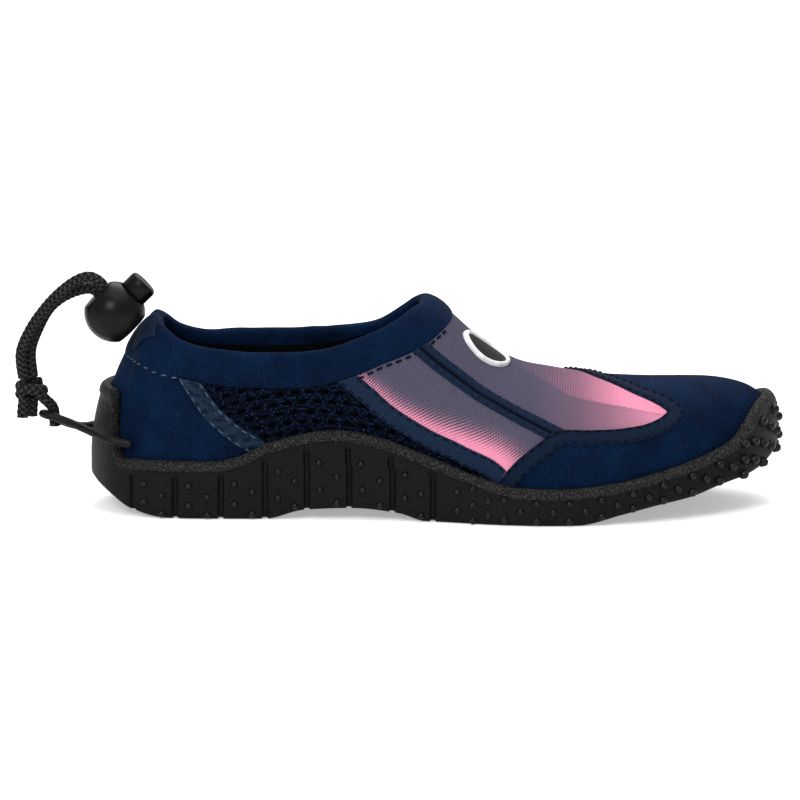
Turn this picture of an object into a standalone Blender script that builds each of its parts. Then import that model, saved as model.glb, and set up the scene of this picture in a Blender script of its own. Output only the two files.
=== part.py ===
"""A right water shoe: rubber cup sole, lasted fabric upper, padded collar and a drawcord with its lock.

Metres, +Z up. The toe points along +X and the outer side of the foot faces -Y. The origin is on the
ground under the middle of the sole.
"""

import math
from bisect import bisect_right
from collections import namedtuple
from functools import lru_cache

import bmesh
import bpy
import numpy as np
from mathutils import Vector

# Driving sizes
SOLE_LENGTH = 0.250
BALL_WIDTH = 0.094
INSTEP_HEIGHT = 0.077
TOE_SPRING = 0.028
GAP = 0.0003
UPPER_WALL = 0.0020
SOLE_WALL = 0.0027
SOLE_THICKNESS = 0.0055
SOLE_EDGE = 0.0024
RIM_HEIGHT = 0.0038
RIM_DEPTH = 0.0008
INSOLE_THICKNESS = 0.0030
COLLAR_PADDING = 0.0046
COLLAR_OUT = 0.22
TAPE_WIDTH = 0.0066
TOE_TAPE_WIDTH = 0.0054
TAPE_THICKNESS = 0.0008
GROOVE_WIDTH = 0.0020
GROOVE_DEPTH = 0.0014
GROOVE_PITCH = 0.0155
GROOVE_TOP = 0.0055
CUT_CLEARANCE = 0.0015
STUD_RADIUS = 0.0023
STUD_HEIGHT = 0.0015
STUD_PITCH = 0.0088
BADGE_RADIUS = 0.0106
BADGE_RING = 0.0018
BADGE_THICKNESS = 0.0014
TUNNEL_HEIGHT = 0.0070
LOCK_RADIUS = 0.0110
PLUNGER_RADIUS = 0.0054
PLUNGER_TRAVEL = 0.0040
CORD_DIAMETER = 0.0040
TETHER_DIAMETER = 0.0024

# The sections of the last, from the back of the heel to the tip of the toe. Each runs from a point
# of the spine to a point of the sole's outline on each side, so they fan out round heel and toe.
# Lengths along are shares of the sole's length from the heel, lengths across are shares of the ball
# width, the widest line's height is a share of the instep height, and tuck is how far the foot of
# the section turns in, as a share of the ball width.
Section = namedtuple(
    "Section",
    "spine spine_across lateral lateral_across medial medial_across widest square tuck",
)
SECTIONS = [
    Section(0.132, 0.000, 0.000, 0.000, 0.000, 0.000, 0.26, 1.7, 0.060),
    Section(0.132, 0.000, 0.022, 0.186, 0.022, 0.186, 0.26, 1.8, 0.060),
    Section(0.132, 0.000, 0.068, 0.293, 0.068, 0.293, 0.26, 2.7, 0.056),
    Section(0.140, 0.000, 0.132, 0.338, 0.132, 0.335, 0.26, 3.6, 0.052),
    Section(0.212, 0.004, 0.220, 0.347, 0.220, 0.332, 0.26, 3.4, 0.050),
    Section(0.308, 0.010, 0.320, 0.345, 0.320, 0.304, 0.26, 3.2, 0.050),
    Section(0.404, 0.018, 0.420, 0.367, 0.420, 0.314, 0.25, 2.9, 0.050),
    Section(0.500, 0.026, 0.508, 0.415, 0.508, 0.372, 0.22, 2.4, 0.048),
    Section(0.580, 0.034, 0.588, 0.477, 0.588, 0.447, 0.19, 2.2, 0.046),
    Section(0.660, 0.042, 0.668, 0.500, 0.672, 0.498, 0.19, 2.2, 0.046),
    Section(0.732, 0.050, 0.748, 0.468, 0.756, 0.487, 0.21, 2.2, 0.048),
    Section(0.796, 0.058, 0.824, 0.402, 0.836, 0.440, 0.25, 2.2, 0.054),
    Section(0.840, 0.062, 0.896, 0.296, 0.910, 0.358, 0.30, 2.3, 0.064),
    Section(0.862, 0.062, 0.958, 0.148, 0.964, 0.248, 0.34, 2.6, 0.074),
    Section(0.872, 0.060, 0.992, -0.060, 0.992, 0.060, 0.37, 2.8, 0.080),
]
LAST = len(SECTIONS) - 1
ROUND = 2 * LAST
WIDEST_SHARE = 0.25
FOOT_TURN = math.radians(78)
FOOT_ROWS = (1.0, 0.62, 0.3, 0.0)

# Heights along the shoe. Each row holds a place along the length and a height there.
Height = namedtuple("Height", "along height")
# The sole's underside, in shares of the toe spring: heel bevel, flat heel, arch, flat ball, toe.
GROUND = [
    Height(0.000, 0.464),
    Height(0.008, 0.393),
    Height(0.032, 0.250),
    Height(0.060, 0.096),
    Height(0.112, 0.000),
    Height(0.252, 0.000),
    Height(0.308, 0.114),
    Height(0.380, 0.143),
    Height(0.444, 0.090),
    Height(0.484, 0.000),
    Height(0.700, 0.000),
    Height(0.768, 0.125),
    Height(0.816, 0.214),
    Height(0.864, 0.286),
    Height(0.904, 0.393),
    Height(0.952, 0.500),
    Height(0.972, 0.607),
    Height(0.990, 0.786),
    Height(1.000, 1.000),
]
# The top of the rubber, in shares of the instep height: heel tab, waist, ball and toe bumper.
RIM = [
    Height(0.018, 0.571),
    Height(0.024, 0.552),
    Height(0.028, 0.494),
    Height(0.032, 0.403),
    Height(0.036, 0.325),
    Height(0.042, 0.279),
    Height(0.052, 0.273),
    Height(0.180, 0.273),
    Height(0.216, 0.299),
    Height(0.260, 0.364),
    Height(0.356, 0.422),
    Height(0.420, 0.390),
    Height(0.444, 0.364),
    Height(0.492, 0.306),
    Height(0.564, 0.221),
    Height(0.620, 0.178),
    Height(0.680, 0.175),
    Height(0.756, 0.195),
    Height(0.816, 0.234),
    Height(0.864, 0.273),
    Height(0.900, 0.312),
    Height(0.928, 0.351),
    Height(0.948, 0.416),
    Height(0.972, 0.481),
    Height(0.990, 0.506),
]
# The ridge of the last over its spine. Behind the throat it only shapes the sides: the foot opening
# is cut out of it.
RIDGE = [
    Height(0.132, 0.974),
    Height(0.212, 1.090),
    Height(0.308, 1.143),
    Height(0.400, 1.100),
    Height(0.448, 1.040),
    Height(0.480, 0.990),
    Height(0.500, 0.950),
    Height(0.520, 0.896),
    Height(0.540, 0.835),
    Height(0.568, 0.756),
    Height(0.596, 0.697),
    Height(0.624, 0.658),
    Height(0.660, 0.634),
    Height(0.696, 0.612),
    Height(0.744, 0.594),
    Height(0.800, 0.588),
    Height(0.852, 0.590),
    Height(0.872, 0.587),
]
# The top edge of the collar and the seam at its foot, seen from the side.
COLLAR_TOP = [
    Height(0.084, 0.940),
    Height(0.092, 0.922),
    Height(0.108, 0.888),
    Height(0.128, 0.844),
    Height(0.156, 0.813),
    Height(0.188, 0.796),
    Height(0.240, 0.782),
    Height(0.288, 0.782),
    Height(0.332, 0.795),
    Height(0.360, 0.818),
    Height(0.388, 0.853),
    Height(0.420, 0.896),
    Height(0.448, 0.945),
    Height(0.464, 0.975),
    Height(0.480, 0.990),
]
# How far the inner side's top edge lies below the outer side's.
INNER_DIP = [
    Height(0.084, 0.000),
    Height(0.128, 0.032),
    Height(0.160, 0.030),
    Height(0.220, 0.000),
    Height(0.268, -0.006),
    Height(0.313, -0.008),
    Height(0.349, 0.006),
    Height(0.417, 0.055),
    Height(0.455, 0.035),
    Height(0.480, 0.000),
]
COLLAR_SEAM = [
    Height(0.044, 0.730),
    Height(0.072, 0.714),
    Height(0.096, 0.686),
    Height(0.128, 0.666),
    Height(0.164, 0.644),
    Height(0.204, 0.627),
    Height(0.256, 0.621),
    Height(0.312, 0.625),
    Height(0.348, 0.645),
    Height(0.388, 0.684),
    Height(0.416, 0.727),
    Height(0.460, 0.783),
    Height(0.484, 0.821),
    Height(0.506, 0.870),
    Height(0.520, 0.896),
]

# Tape routes over the upper. Each row names a section and a place on it, as a share of the way from
# the ridge down to the foot.
Mark = namedtuple("Mark", "section girth")
VAMP_TAPE = [
    Mark(6.20, 0.360),
    Mark(6.60, 0.388),
    Mark(7.00, 0.410),
    Mark(7.50, 0.412),
    Mark(8.05, 0.415),
    Mark(8.60, 0.450),
    Mark(9.20, 0.520),
]
SIDE_TAPE = [
    Mark(5.20, 0.500),
    Mark(5.78, 0.568),
    Mark(6.15, 0.612),
    Mark(6.75, 0.650),
    Mark(7.30, 0.668),
    Mark(7.85, 0.690),
    Mark(8.20, 0.760),
]
HEEL_TAPE = [
    Mark(2.80, 0.420),
    Mark(3.05, 0.487),
    Mark(3.30, 0.550),
    Mark(3.55, 0.612),
    Mark(3.90, 0.670),
    Mark(4.25, 0.712),
    Mark(4.70, 0.800),
]
# From the outer side of the sole round the tip of the centre strip and over to the inner side. The
# outer side counts as negative.
TOE_TAPE = [
    Mark(8.10, -0.780),
    Mark(8.30, -0.700),
    Mark(8.75, -0.588),
    Mark(9.15, -0.515),
    Mark(9.70, -0.510),
    Mark(10.30, -0.510),
    Mark(10.95, -0.500),
    Mark(11.45, -0.460),
    Mark(11.66, -0.400),
    Mark(11.50, -0.330),
    Mark(11.10, -0.262),
    Mark(10.75, -0.200),
    Mark(10.40, -0.112),
    Mark(10.00, 0.010),
    Mark(9.60, 0.140),
    Mark(9.20, 0.290),
    Mark(8.85, 0.450),
    Mark(8.60, 0.600),
    Mark(8.45, 0.700),
    Mark(8.35, 0.790),
]
BADGE = Mark(7.82, -0.105)
TUNNEL_MOUTH = [Mark(1.55, -0.300), Mark(2.10, -0.310), Mark(2.65, -0.330)]

# Where the side's grooves begin and end and where the toe's studs begin, along the sole.
FIRST_GROOVE = 0.060
LAST_GROOVE = 0.510
FIRST_STUD = 0.830

# The drawcord and the strap behind the heel, as chosen places that follow the photograph.
LOCK_CENTRE = Vector((-0.1161, -0.0131, 0.0725))
PLUNGER_OUT = Vector((0.709, 0.0, 0.705))
PLUNGER_END = 0.0156
PLUNGER_BACK = 0.0065
KNOT_CENTRE = Vector((-0.1463, -0.0050, 0.0427))
KNOT_RADII = Vector((0.0056, 0.0046, 0.0038))
DRAWCORD_OUTER = [
    (-0.1209, -0.0151, 0.0829),
    (-0.1222, -0.0155, 0.0850),
    (-0.1252, -0.0154, 0.0862),
    (-0.1291, -0.0147, 0.0852),
    (-0.1348, -0.0137, 0.0818),
    (-0.1399, -0.0122, 0.0760),
    (-0.1458, -0.0103, 0.0672),
    (-0.1497, -0.0084, 0.0569),
    (-0.1492, -0.0068, 0.0474),
]
DRAWCORD_INNER = [
    (-0.1238, -0.0115, 0.0811),
    (-0.1253, -0.0110, 0.0815),
    (-0.1294, -0.0102, 0.0797),
    (-0.1346, -0.0094, 0.0775),
    (-0.1395, -0.0079, 0.0725),
    (-0.1428, -0.0063, 0.0662),
    (-0.1450, -0.0045, 0.0570),
    (-0.1447, -0.0035, 0.0473),
]
TAIL_OUTER = [(-0.1490, -0.0066, 0.0380), (-0.1495, -0.0070, 0.0355), (-0.1496, -0.0072, 0.0328)]
TAIL_INNER = [(-0.1458, -0.0026, 0.0380), (-0.1462, -0.0022, 0.0355), (-0.1463, -0.0020, 0.0326)]
BIGHT = [
    (-0.1414, -0.0060, 0.0392),
    (-0.1402, -0.0052, 0.0380),
    (-0.1388, -0.0036, 0.0360),
    (-0.1382, -0.0026, 0.0325),
    (-0.1380, -0.0024, 0.0290),
]
TETHER = [
    (-0.1101, -0.0256, 0.0262),
    (-0.1134, -0.0251, 0.0268),
    (-0.1170, -0.0243, 0.0275),
    (-0.1207, -0.0214, 0.0283),
    (-0.1247, -0.0165, 0.0292),
    (-0.1309, -0.0100, 0.0308),
    (-0.1370, -0.0070, 0.0326),
    (-0.1408, -0.0058, 0.0334),
    (-0.1424, -0.0024, 0.0334),
    (-0.1408, 0.0012, 0.0326),
    (-0.1370, 0.0024, 0.0304),
    (-0.1322, 0.0066, 0.0278),
    (-0.1278, 0.0110, 0.0264),
    (-0.1243, 0.0162, 0.0260),
    (-0.1201, 0.0221, 0.0258),
    (-0.1170, 0.0244, 0.0257),
    (-0.1134, 0.0252, 0.0258),
    (-0.1101, 0.0258, 0.0259),
]


def smooth(places, values):
    """A curve through the rows that never overshoots them."""
    places = list(places)
    values = list(values)
    slopes = []
    for i in range(len(places) - 1):
        slopes.append((values[i + 1] - values[i]) / (places[i + 1] - places[i]))
    tangents = [slopes[0]]
    for before, after in zip(slopes, slopes[1:]):
        if before * after > 0:
            tangents.append(2 * before * after / (before + after))
        else:
            tangents.append(0.0)
    tangents.append(slopes[-1])

    def read(place):
        place = min(max(place, places[0]), places[-1])
        i = min(bisect_right(places, place) - 1, len(places) - 2)
        span = places[i + 1] - places[i]
        t = (place - places[i]) / span
        rise = (3 * t**2 - 2 * t**3) * (values[i + 1] - values[i])
        lean = (t**3 - 2 * t**2 + t) * tangents[i] + (t**3 - t**2) * tangents[i + 1]
        return values[i] + rise + span * lean

    return read


def height_curve(rows, unit):
    read = smooth([row.along for row in rows], [row.height * unit for row in rows])

    def at(x):
        return read(x / SOLE_LENGTH + 0.5)

    return at


ground = height_curve(GROUND, TOE_SPRING)
rim_height = height_curve(RIM, INSTEP_HEIGHT)
ridge = height_curve(RIDGE, INSTEP_HEIGHT)
collar_top = height_curve(COLLAR_TOP, INSTEP_HEIGHT)
inner_dip = height_curve(INNER_DIP, INSTEP_HEIGHT)
collar_seam = height_curve(COLLAR_SEAM, INSTEP_HEIGHT)


def by_section(column):
    return smooth(range(len(SECTIONS)), [getattr(row, column) for row in SECTIONS])


spine_along = by_section("spine")
spine_across = by_section("spine_across")
widest_share = by_section("widest")
squareness = by_section("square")
tuck_share = by_section("tuck")


def outline_points():
    """The rows of the outline once round: lateral side from heel to toe, medial side back."""
    points = []
    for row in SECTIONS[:-1]:
        points.append((row.lateral, -row.lateral_across))
    for row in reversed(SECTIONS[1:]):
        points.append((row.medial, row.medial_across))
    return [((a - 0.5) * SOLE_LENGTH, c * BALL_WIDTH) for a, c in points]


OUTLINE = outline_points()


def between(a, b, c, d, t):
    """A smooth curve from b to c that heads for its neighbours a and d, at share t."""
    a, b, c, d = (np.array(p, float) for p in (a, b, c, d))
    curve = 2 * b + t * (c - a) + t**2 * (2 * a - 5 * b + 4 * c - d)
    return 0.5 * (curve + t**3 * (3 * b - a - 3 * c + d))


def outline(q):
    """The sole's outline at q, counted in sections round the shoe from the back of the heel."""
    i = math.floor(q)
    x, y = between(*(OUTLINE[(i + step) % ROUND] for step in (-1, 0, 1, 2)), q - i)
    return float(x), float(y)


def route(points, share):
    """The place at a share of the way along a smooth curve through the points."""
    last = len(points) - 1
    i = min(int(share * last), last - 1)
    near = [points[min(max(i + step, 0), last)] for step in (-1, 0, 1, 2)]
    return between(*near, share * last - i)


Station = namedtuple("Station", "x y out_x out_y reach edge_x widest top square tuck foot")


@lru_cache(maxsize=None)
def station(q):
    """The sizes of the section at q."""
    q = q % ROUND
    k = min(q, ROUND - q)
    x = (spine_along(k) - 0.5) * SOLE_LENGTH
    y = spine_across(k) * BALL_WIDTH
    edge_x, edge_y = outline(q)
    far = math.hypot(edge_x - x, edge_y - y)
    out_x = (edge_x - x) / far
    out_y = (edge_y - y) / far
    reach = far - SOLE_WALL - GAP
    tuck = tuck_share(k) * BALL_WIDTH
    foot_x = x + out_x * (reach - tuck * (1 - math.cos(FOOT_TURN)))
    foot = ground(foot_x) + SOLE_THICKNESS + GAP
    widest = widest_share(k) * INSTEP_HEIGHT
    return Station(x, y, out_x, out_y, reach, edge_x, widest, ridge(x), squareness(k), tuck, foot)


def plan_and_height(s, v):
    """How far out and how high a section's line is at v: 0 at its foot, 1 on the ridge."""
    if v < WIDEST_SHARE:
        turn = (1 - v / WIDEST_SHARE) * FOOT_TURN
        drop = (s.widest - s.foot) * math.sin(turn) / math.sin(FOOT_TURN)
        return s.reach - s.tuck * (1 - math.cos(turn)), s.widest - drop
    turn = (v - WIDEST_SHARE) / (1 - WIDEST_SHARE) * math.pi / 2
    across, up = math.cos(turn), math.sin(turn)
    size = (abs(across) ** s.square + up**s.square) ** (1 / s.square)
    return s.reach * across / size, s.widest + (s.top - s.widest) * up / size


def last_point(q, v):
    """A point of the last's surface. Past v = 1 the line goes on down the other side."""
    if v > 1:
        q, v = -q, 2 - v
    s = station(round(q % ROUND, 7))
    out, z = plan_and_height(s, v)
    return Vector((s.x + s.out_x * out, s.y + s.out_y * out, z))


def last_normal(q, v):
    step = 0.004
    along = last_point(q + step, v) - last_point(q - step, v)
    up = last_point(q, v + step) - last_point(q, v - step)
    if along.length < 1e-5:
        return (last_normal(q, v - 10 * step) + last_normal(-q, v - 10 * step)).normalized()
    return along.cross(up).normalized()


def off_last(q, v, distance):
    return last_point(q, v) + last_normal(q, v) * distance


def crossing(q, height, lowest=WIDEST_SHARE, highest=1.0):
    """Where the section at q rises past a line seen from the side, or highest if it never does."""
    def above(v):
        p = last_point(q, v)
        return p.z - height(p.x)

    if above(highest) <= 0:
        return highest
    low, high = lowest, highest
    for _ in range(40):
        middle = (low + high) / 2
        if above(middle) > 0:
            high = middle
        else:
            low = middle
    return high


@lru_cache(maxsize=None)
def rim_share(q):
    """Where the top edge of the rubber crosses the section at q."""
    s = station(round(q % ROUND, 7))
    top = rim_height(s.edge_x)
    return crossing(q, lambda x: top, 0.0)


def section_at(x):
    """The q on the lateral side whose section meets the spine at x."""
    low, high = 0.0, float(LAST)
    for _ in range(50):
        middle = (low + high) / 2
        if (spine_along(middle) - 0.5) * SOLE_LENGTH < x:
            low = middle
        else:
            high = middle
    return high


def front_of(rows):
    """The q at which a collar line runs into the ridge."""
    return section_at((rows[-1].along - 0.5) * SOLE_LENGTH)


def material(name, colour, roughness, metallic=0.0):
    made = bpy.data.materials.new(name)
    made.use_nodes = True
    shader = made.node_tree.nodes["Principled BSDF"]
    shader.inputs["Base Color"].default_value = (*colour, 1.0)
    shader.inputs["Roughness"].default_value = roughness
    shader.inputs["Metallic"].default_value = metallic
    made.diffuse_color = (*colour, 1.0)
    return made


def add_object(name, points, faces, look, flat_angle=40.0):
    """One closed body from points and faces, with points that coincide made one."""
    mesh = bpy.data.meshes.new(name)
    body = bmesh.new()
    made = [body.verts.new(p) for p in points]
    for face in faces:
        corners = [made[i] for i in face]
        body.faces.new(corners)
    bmesh.ops.remove_doubles(body, verts=body.verts, dist=2e-6)
    bmesh.ops.dissolve_degenerate(body, edges=body.edges, dist=1e-6)
    bmesh.ops.recalc_face_normals(body, faces=body.faces)
    body.to_mesh(mesh)
    body.free()
    mesh.shade_smooth()
    mesh.set_sharp_from_angle(angle=math.radians(flat_angle))
    made_object = bpy.data.objects.new(name, mesh)
    bpy.context.scene.collection.objects.link(made_object)
    if look:
        mesh.materials.append(look)
    return made_object


def strips(columns, closed, loop=False):
    """Faces between neighbouring columns of equal length, given as lists of point numbers."""
    faces = []
    count = len(columns)
    for i in range(count if closed else count - 1):
        here, there = columns[i], columns[(i + 1) % count]
        rows = len(here)
        for j in range(rows if loop else rows - 1):
            faces.append((here[j], there[j], there[(j + 1) % rows], here[(j + 1) % rows]))
    return faces


def numbered(columns):
    """All points of the columns in one list, and the columns as numbers into it."""
    points, numbers = [], []
    for column in columns:
        numbers.append(list(range(len(points), len(points) + len(column))))
        points.extend(column)
    return points, numbers


def both_sides(lateral):
    """Stations once round the shoe from those of the lateral side, heel and toe included."""
    return list(lateral) + [ROUND - q for q in reversed(lateral) if 0 < q < LAST]


def stations_round():
    """Close together at the heel tab, the toe and where the collar seam runs into the ridge."""
    front = front_of(COLLAR_SEAM)
    heel = [0.0, 0.25, 0.5, 0.75, 1.0, 1.15, 1.3, 1.45, 1.65, 2.0, 2.4]
    sides = [3 + 0.5 * step for step in range(16)]
    toe = [11 + 0.375 * step for step in range(9)]
    throat = [front - 1.1 * (step / 5) ** 2 for step in range(5, -1, -1)]
    others = [q for q in heel + sides + toe if not front - 1.35 < q < front + 0.2]
    return both_sides(sorted(others + throat))


def make_upper(look):
    """The lasted shell: an outer and an inner face, joined at the collar seam and at the foot."""
    front = front_of(COLLAR_SEAM)
    stations = stations_round()
    steps = 8
    columns, open_top = [], []
    for q in stations:
        k = min(q, ROUND - q)
        top = 1.0 if k >= front - 1e-6 else crossing(q, collar_seam)
        shares = [WIDEST_SHARE * row for row in reversed(FOOT_ROWS)]
        shares += [WIDEST_SHARE + (top - WIDEST_SHARE) * i / steps for i in range(1, steps + 1)]
        outer = [off_last(q, v, 0) for v in shares]
        inner = [off_last(q, v, -UPPER_WALL) for v in shares]
        columns.append(outer + inner[::-1])
        open_top.append(k < front - 1e-6)
    points, numbers = numbered(columns)
    half = len(columns[0]) // 2
    outer_faces = strips([column[:half] for column in numbers], True)
    inner_faces = strips([column[half:] for column in numbers], True)
    foot = strips([[column[-1], column[0]] for column in numbers], True)
    edge = []
    for i, column in enumerate(numbers):
        after = (i + 1) % len(numbers)
        if open_top[i] or open_top[after]:
            there = numbers[after]
            edge.append((column[half - 1], there[half - 1], there[half], column[half]))
    return add_object("upper", points, outer_faces + inner_faces + foot + edge, look)


def wall_point(q, z, extra=0.0):
    """A point of the rubber wall's outer face: upright below the widest line, along the last above."""
    s = station(round(q % ROUND, 7))
    if z <= s.widest:
        out = s.reach + GAP + SOLE_WALL + extra
        return Vector((s.x + s.out_x * out, s.y + s.out_y * out, z))
    return off_last(q, crossing(q, lambda x: z), GAP + SOLE_WALL + extra)


def sole_edge(q):
    """The height of the underside's edge and of the rubber's top at q."""
    s = station(round(q % ROUND, 7))
    out = s.reach + GAP + SOLE_WALL - SOLE_EDGE
    return ground(s.x + s.out_x * out), last_point(q, rim_share(q)).z


def foot_reach(s):
    """How far the last reaches from the spine where it meets the footbed."""
    return s.reach - s.tuck * (1 - math.cos(FOOT_TURN))


def sole_column(q):
    """The sole's section at q: along its underside, up the wall, over the rim and into the cup."""
    s = station(round(q % ROUND, 7))
    rim = rim_share(q)
    edge, top = sole_edge(q)
    low = edge + min(SOLE_EDGE, 0.4 * (s.widest - edge))
    band = top - RIM_HEIGHT

    def level(out, thickness):
        x = s.x + s.out_x * out
        return Vector((x, s.y + s.out_y * out, ground(x) + thickness))

    under = s.reach + GAP + SOLE_WALL - SOLE_EDGE
    column = [level(under * share, 0.0) for share in (0.0, 0.45, 0.8, 1.0)]
    column += [wall_point(q, low + (band - low) * share) for share in (0.0, 0.5, 0.97)]
    column += [
        wall_point(q, band, RIM_DEPTH),
        wall_point(q, top - 0.3 * RIM_HEIGHT, RIM_DEPTH),
        wall_point(q, top, -0.3 * SOLE_WALL),
    ]
    turn = min(rim, WIDEST_SHARE)
    inside = [turn + (rim - turn) * share for share in (1.0, 0.67, 0.33)]
    inside += [turn * share for share in FOOT_ROWS]
    column += [off_last(q, v, GAP) for v in inside]
    column += [level(foot_reach(s) * share, SOLE_THICKNESS) for share in (0.98, 0.8, 0.5, 0.0)]
    return column


def edge_at(x, side):
    """The q where the sole's outline reaches x, on the lateral (-1) or medial (1) side."""
    low, high = 0.0, float(LAST)
    for _ in range(40):
        middle = (low + high) / 2
        if outline(-side * middle % ROUND)[0] < x:
            low = middle
        else:
            high = middle
    return -side * high % ROUND


def groove_column(x, drop):
    """A closed section of one groove: up the lateral wall, under the sole and up the medial wall."""
    outer, inner = [], []
    for side in (-1, 1):
        q = edge_at(x, side)
        s = station(round(q % ROUND, 7))
        edge, rim_top = sole_edge(q)
        top = rim_top - GROOVE_TOP - drop
        low = edge + min(SOLE_EDGE, 0.4 * (s.widest - edge))
        heights = (top, (top + low) / 2, low)
        outside = [wall_point(q, z, CUT_CLEARANCE) for z in heights]
        inside = [wall_point(q, z, -GROOVE_DEPTH) for z in heights]
        corner = wall_point(q, low, CUT_CLEARANCE)
        outside.append(Vector((corner.x, corner.y, ground(x) - CUT_CLEARANCE)))
        floor = wall_point(q, low, -SOLE_EDGE)
        inside.append(Vector((floor.x, floor.y, ground(x) + GROOVE_DEPTH)))
        if side == 1:
            outside.reverse()
            inside.reverse()
        outer += outside
        inner += inside
    return outer + inner[::-1]


def make_groove_cutter():
    points, faces = [], []
    x = (FIRST_GROOVE - 0.5) * SOLE_LENGTH
    while x < (LAST_GROOVE - 0.5) * SOLE_LENGTH:
        half = GROOVE_WIDTH / 2
        columns = [groove_column(x - half, half), groove_column(x, 0.0), groove_column(x + half, half)]
        some, numbers = numbered(columns)
        some_faces = strips(numbers, False, loop=True)
        rows = len(columns[0])
        for column in (numbers[0], numbers[-1]):
            for j in range(rows // 2 - 1):
                some_faces.append((column[j], column[j + 1], column[rows - 2 - j], column[rows - 1 - j]))
        faces += [tuple(i + len(points) for i in face) for face in some_faces]
        points += some
        x += GROOVE_PITCH
    return add_object("groove_cutter", points, faces, None)


def make_studs():
    """The toe's studs: four-sided points in staggered rows between the underside and the rim."""
    points, faces = [], []
    start = edge_at((FIRST_STUD - 0.5) * SOLE_LENGTH, -1)
    stop = edge_at((FIRST_STUD - 0.5) * SOLE_LENGTH, 1)
    fine = [start + (stop - start) * i / 600 for i in range(601)]
    reached, since, count = outline(start), 0.0, 0
    for q in fine:
        here = outline(q)
        since += math.dist(here, reached)
        reached = here
        if since < STUD_PITCH / 2:
            continue
        since = 0.0
        count += 1
        edge, rim_top = sole_edge(q)
        low, high = edge + STUD_RADIUS, rim_top - RIM_HEIGHT - STUD_RADIUS
        rows = max(2, round((high - low) / STUD_PITCH) * 2)
        for row in range(count % 2, rows + 1, 2):
            z = low + (high - low) * row / rows
            root = wall_point(q, z, -0.5 * SOLE_WALL)
            tip = wall_point(q, z, STUD_HEIGHT)
            out = (tip - root).normalized()
            up = (Vector((0, 0, 1)) - out * out.z).normalized()
            across = out.cross(up)
            first = len(points)
            for centre, radius in ((root, 1.2 * STUD_RADIUS), (tip, 0.4 * STUD_RADIUS)):
                for way in (up, across, -up, -across):
                    points.append(centre + way * radius)
            faces.append(tuple(reversed(range(first, first + 4))))
            faces.append(tuple(range(first + 4, first + 8)))
            for i in range(4):
                j = (i + 1) % 4
                faces.append((first + i, first + j, first + 4 + j, first + 4 + i))
    return add_object("stud_bodies", points, faces, None)


def use_on(body, other, operation):
    """Cuts or joins another object with a Boolean and keeps that object out of renders."""
    change = body.modifiers.new(other.name, "BOOLEAN")
    change.operation = operation
    change.object = other
    change.use_self = True
    other.hide_render = True
    other.display_type = "WIRE"


def make_sole(look):
    columns = [sole_column(q) for q in stations_round()]
    points, numbers = numbered(columns)
    sole = add_object("outsole", points, strips(numbers, True), look, 35.0)
    use_on(sole, make_groove_cutter(), "DIFFERENCE")
    use_on(sole, make_studs(), "UNION")
    return sole


def make_insole(look):
    """A flat footbed lying on the sole inside the foot of the upper."""
    columns = []
    for q in stations_round():
        s = station(round(q % ROUND, 7))
        edge = foot_reach(s) - UPPER_WALL - GAP

        def level(out, height):
            x = s.x + s.out_x * out
            y = s.y + s.out_y * out
            return Vector((x, y, ground(x) + SOLE_THICKNESS + GAP + height))

        places = [foot_reach(s) * share for share in (0.0, 0.5, 0.8)] + [edge]
        columns.append(
            [level(out, 0.0) for out in places]
            + [level(out, INSOLE_THICKNESS) for out in reversed(places)]
        )
    points, numbers = numbered(columns)
    return add_object("insole", points, strips(numbers, True), look)


def inner_top(x):
    return collar_top(x) - inner_dip(x)


def make_collar(look):
    """The padded band between its seam and its top edge, round the foot opening."""
    seam_front, top_front = front_of(COLLAR_SEAM), front_of(COLLAR_TOP)
    steps = 17
    profile = [
        (0.02, 0.0), (0.14, 0.16), (0.40, COLLAR_OUT), (0.70, 0.18), (0.88, 0.04), (0.98, -0.20),
        (1.00, -0.50), (0.94, -0.84), (0.70, -1.00), (0.36, -0.92), (0.14, -0.68), (0.02, -0.43),
    ]
    columns = []
    for i in range(2 * steps):
        t = (i / steps) if i <= steps else (2 * steps - i) / steps
        ease = 1 - (1 - t) ** 2
        seam_q, top_q = seam_front * ease, top_front * ease
        side = 1 if i <= steps else -1
        seam_v = crossing(seam_q, collar_seam) if t < 1 else 1.0
        top_v = crossing(top_q, collar_top if side == 1 else inner_top) if t < 1 else 1.0
        column = []
        for share, depth in profile:
            q = seam_q + (top_q - seam_q) * share
            v = seam_v + (top_v - seam_v) * share
            column.append(off_last(side * q, v, depth * COLLAR_PADDING))
        columns.append(column)
    points, numbers = numbered(columns)
    return add_object("collar", points, strips(numbers, True, loop=True), look, 60.0)


def shoe_point(section, girth):
    """A point of the upper by its section and how far it lies from the ridge, outer side negative."""
    return last_point(section if girth < 0 else -section, 1 - abs(girth))


def off_shoe(section, girth, distance):
    return off_last(section if girth < 0 else -section, 1 - abs(girth), distance)


def aside(section, girth, heading, distance):
    """The place a distance to the left of one on a path with this heading, in the same two terms."""
    step = 0.01
    by_section = (shoe_point(section + step, girth) - shoe_point(section - step, girth)) / (2 * step)
    by_girth = (shoe_point(section, girth + step) - shoe_point(section, girth - step)) / (2 * step)
    up = by_section.cross(by_girth).normalized()
    forward = by_section * heading[0] + by_girth * heading[1]
    left = up.cross(forward).normalized() * distance
    metric = np.array(
        [
            [by_section.dot(by_section), by_section.dot(by_girth)],
            [by_section.dot(by_girth), by_girth.dot(by_girth)],
        ]
    )
    move = np.linalg.solve(metric, [by_section.dot(left), by_girth.dot(left)])
    return section + float(move[0]), girth + float(move[1])


def toe_tape_line():
    marks = [tuple(mark) for mark in TOE_TAPE]
    return [shoe_point(*route(marks, i / 160)) for i in range(161)]


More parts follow.
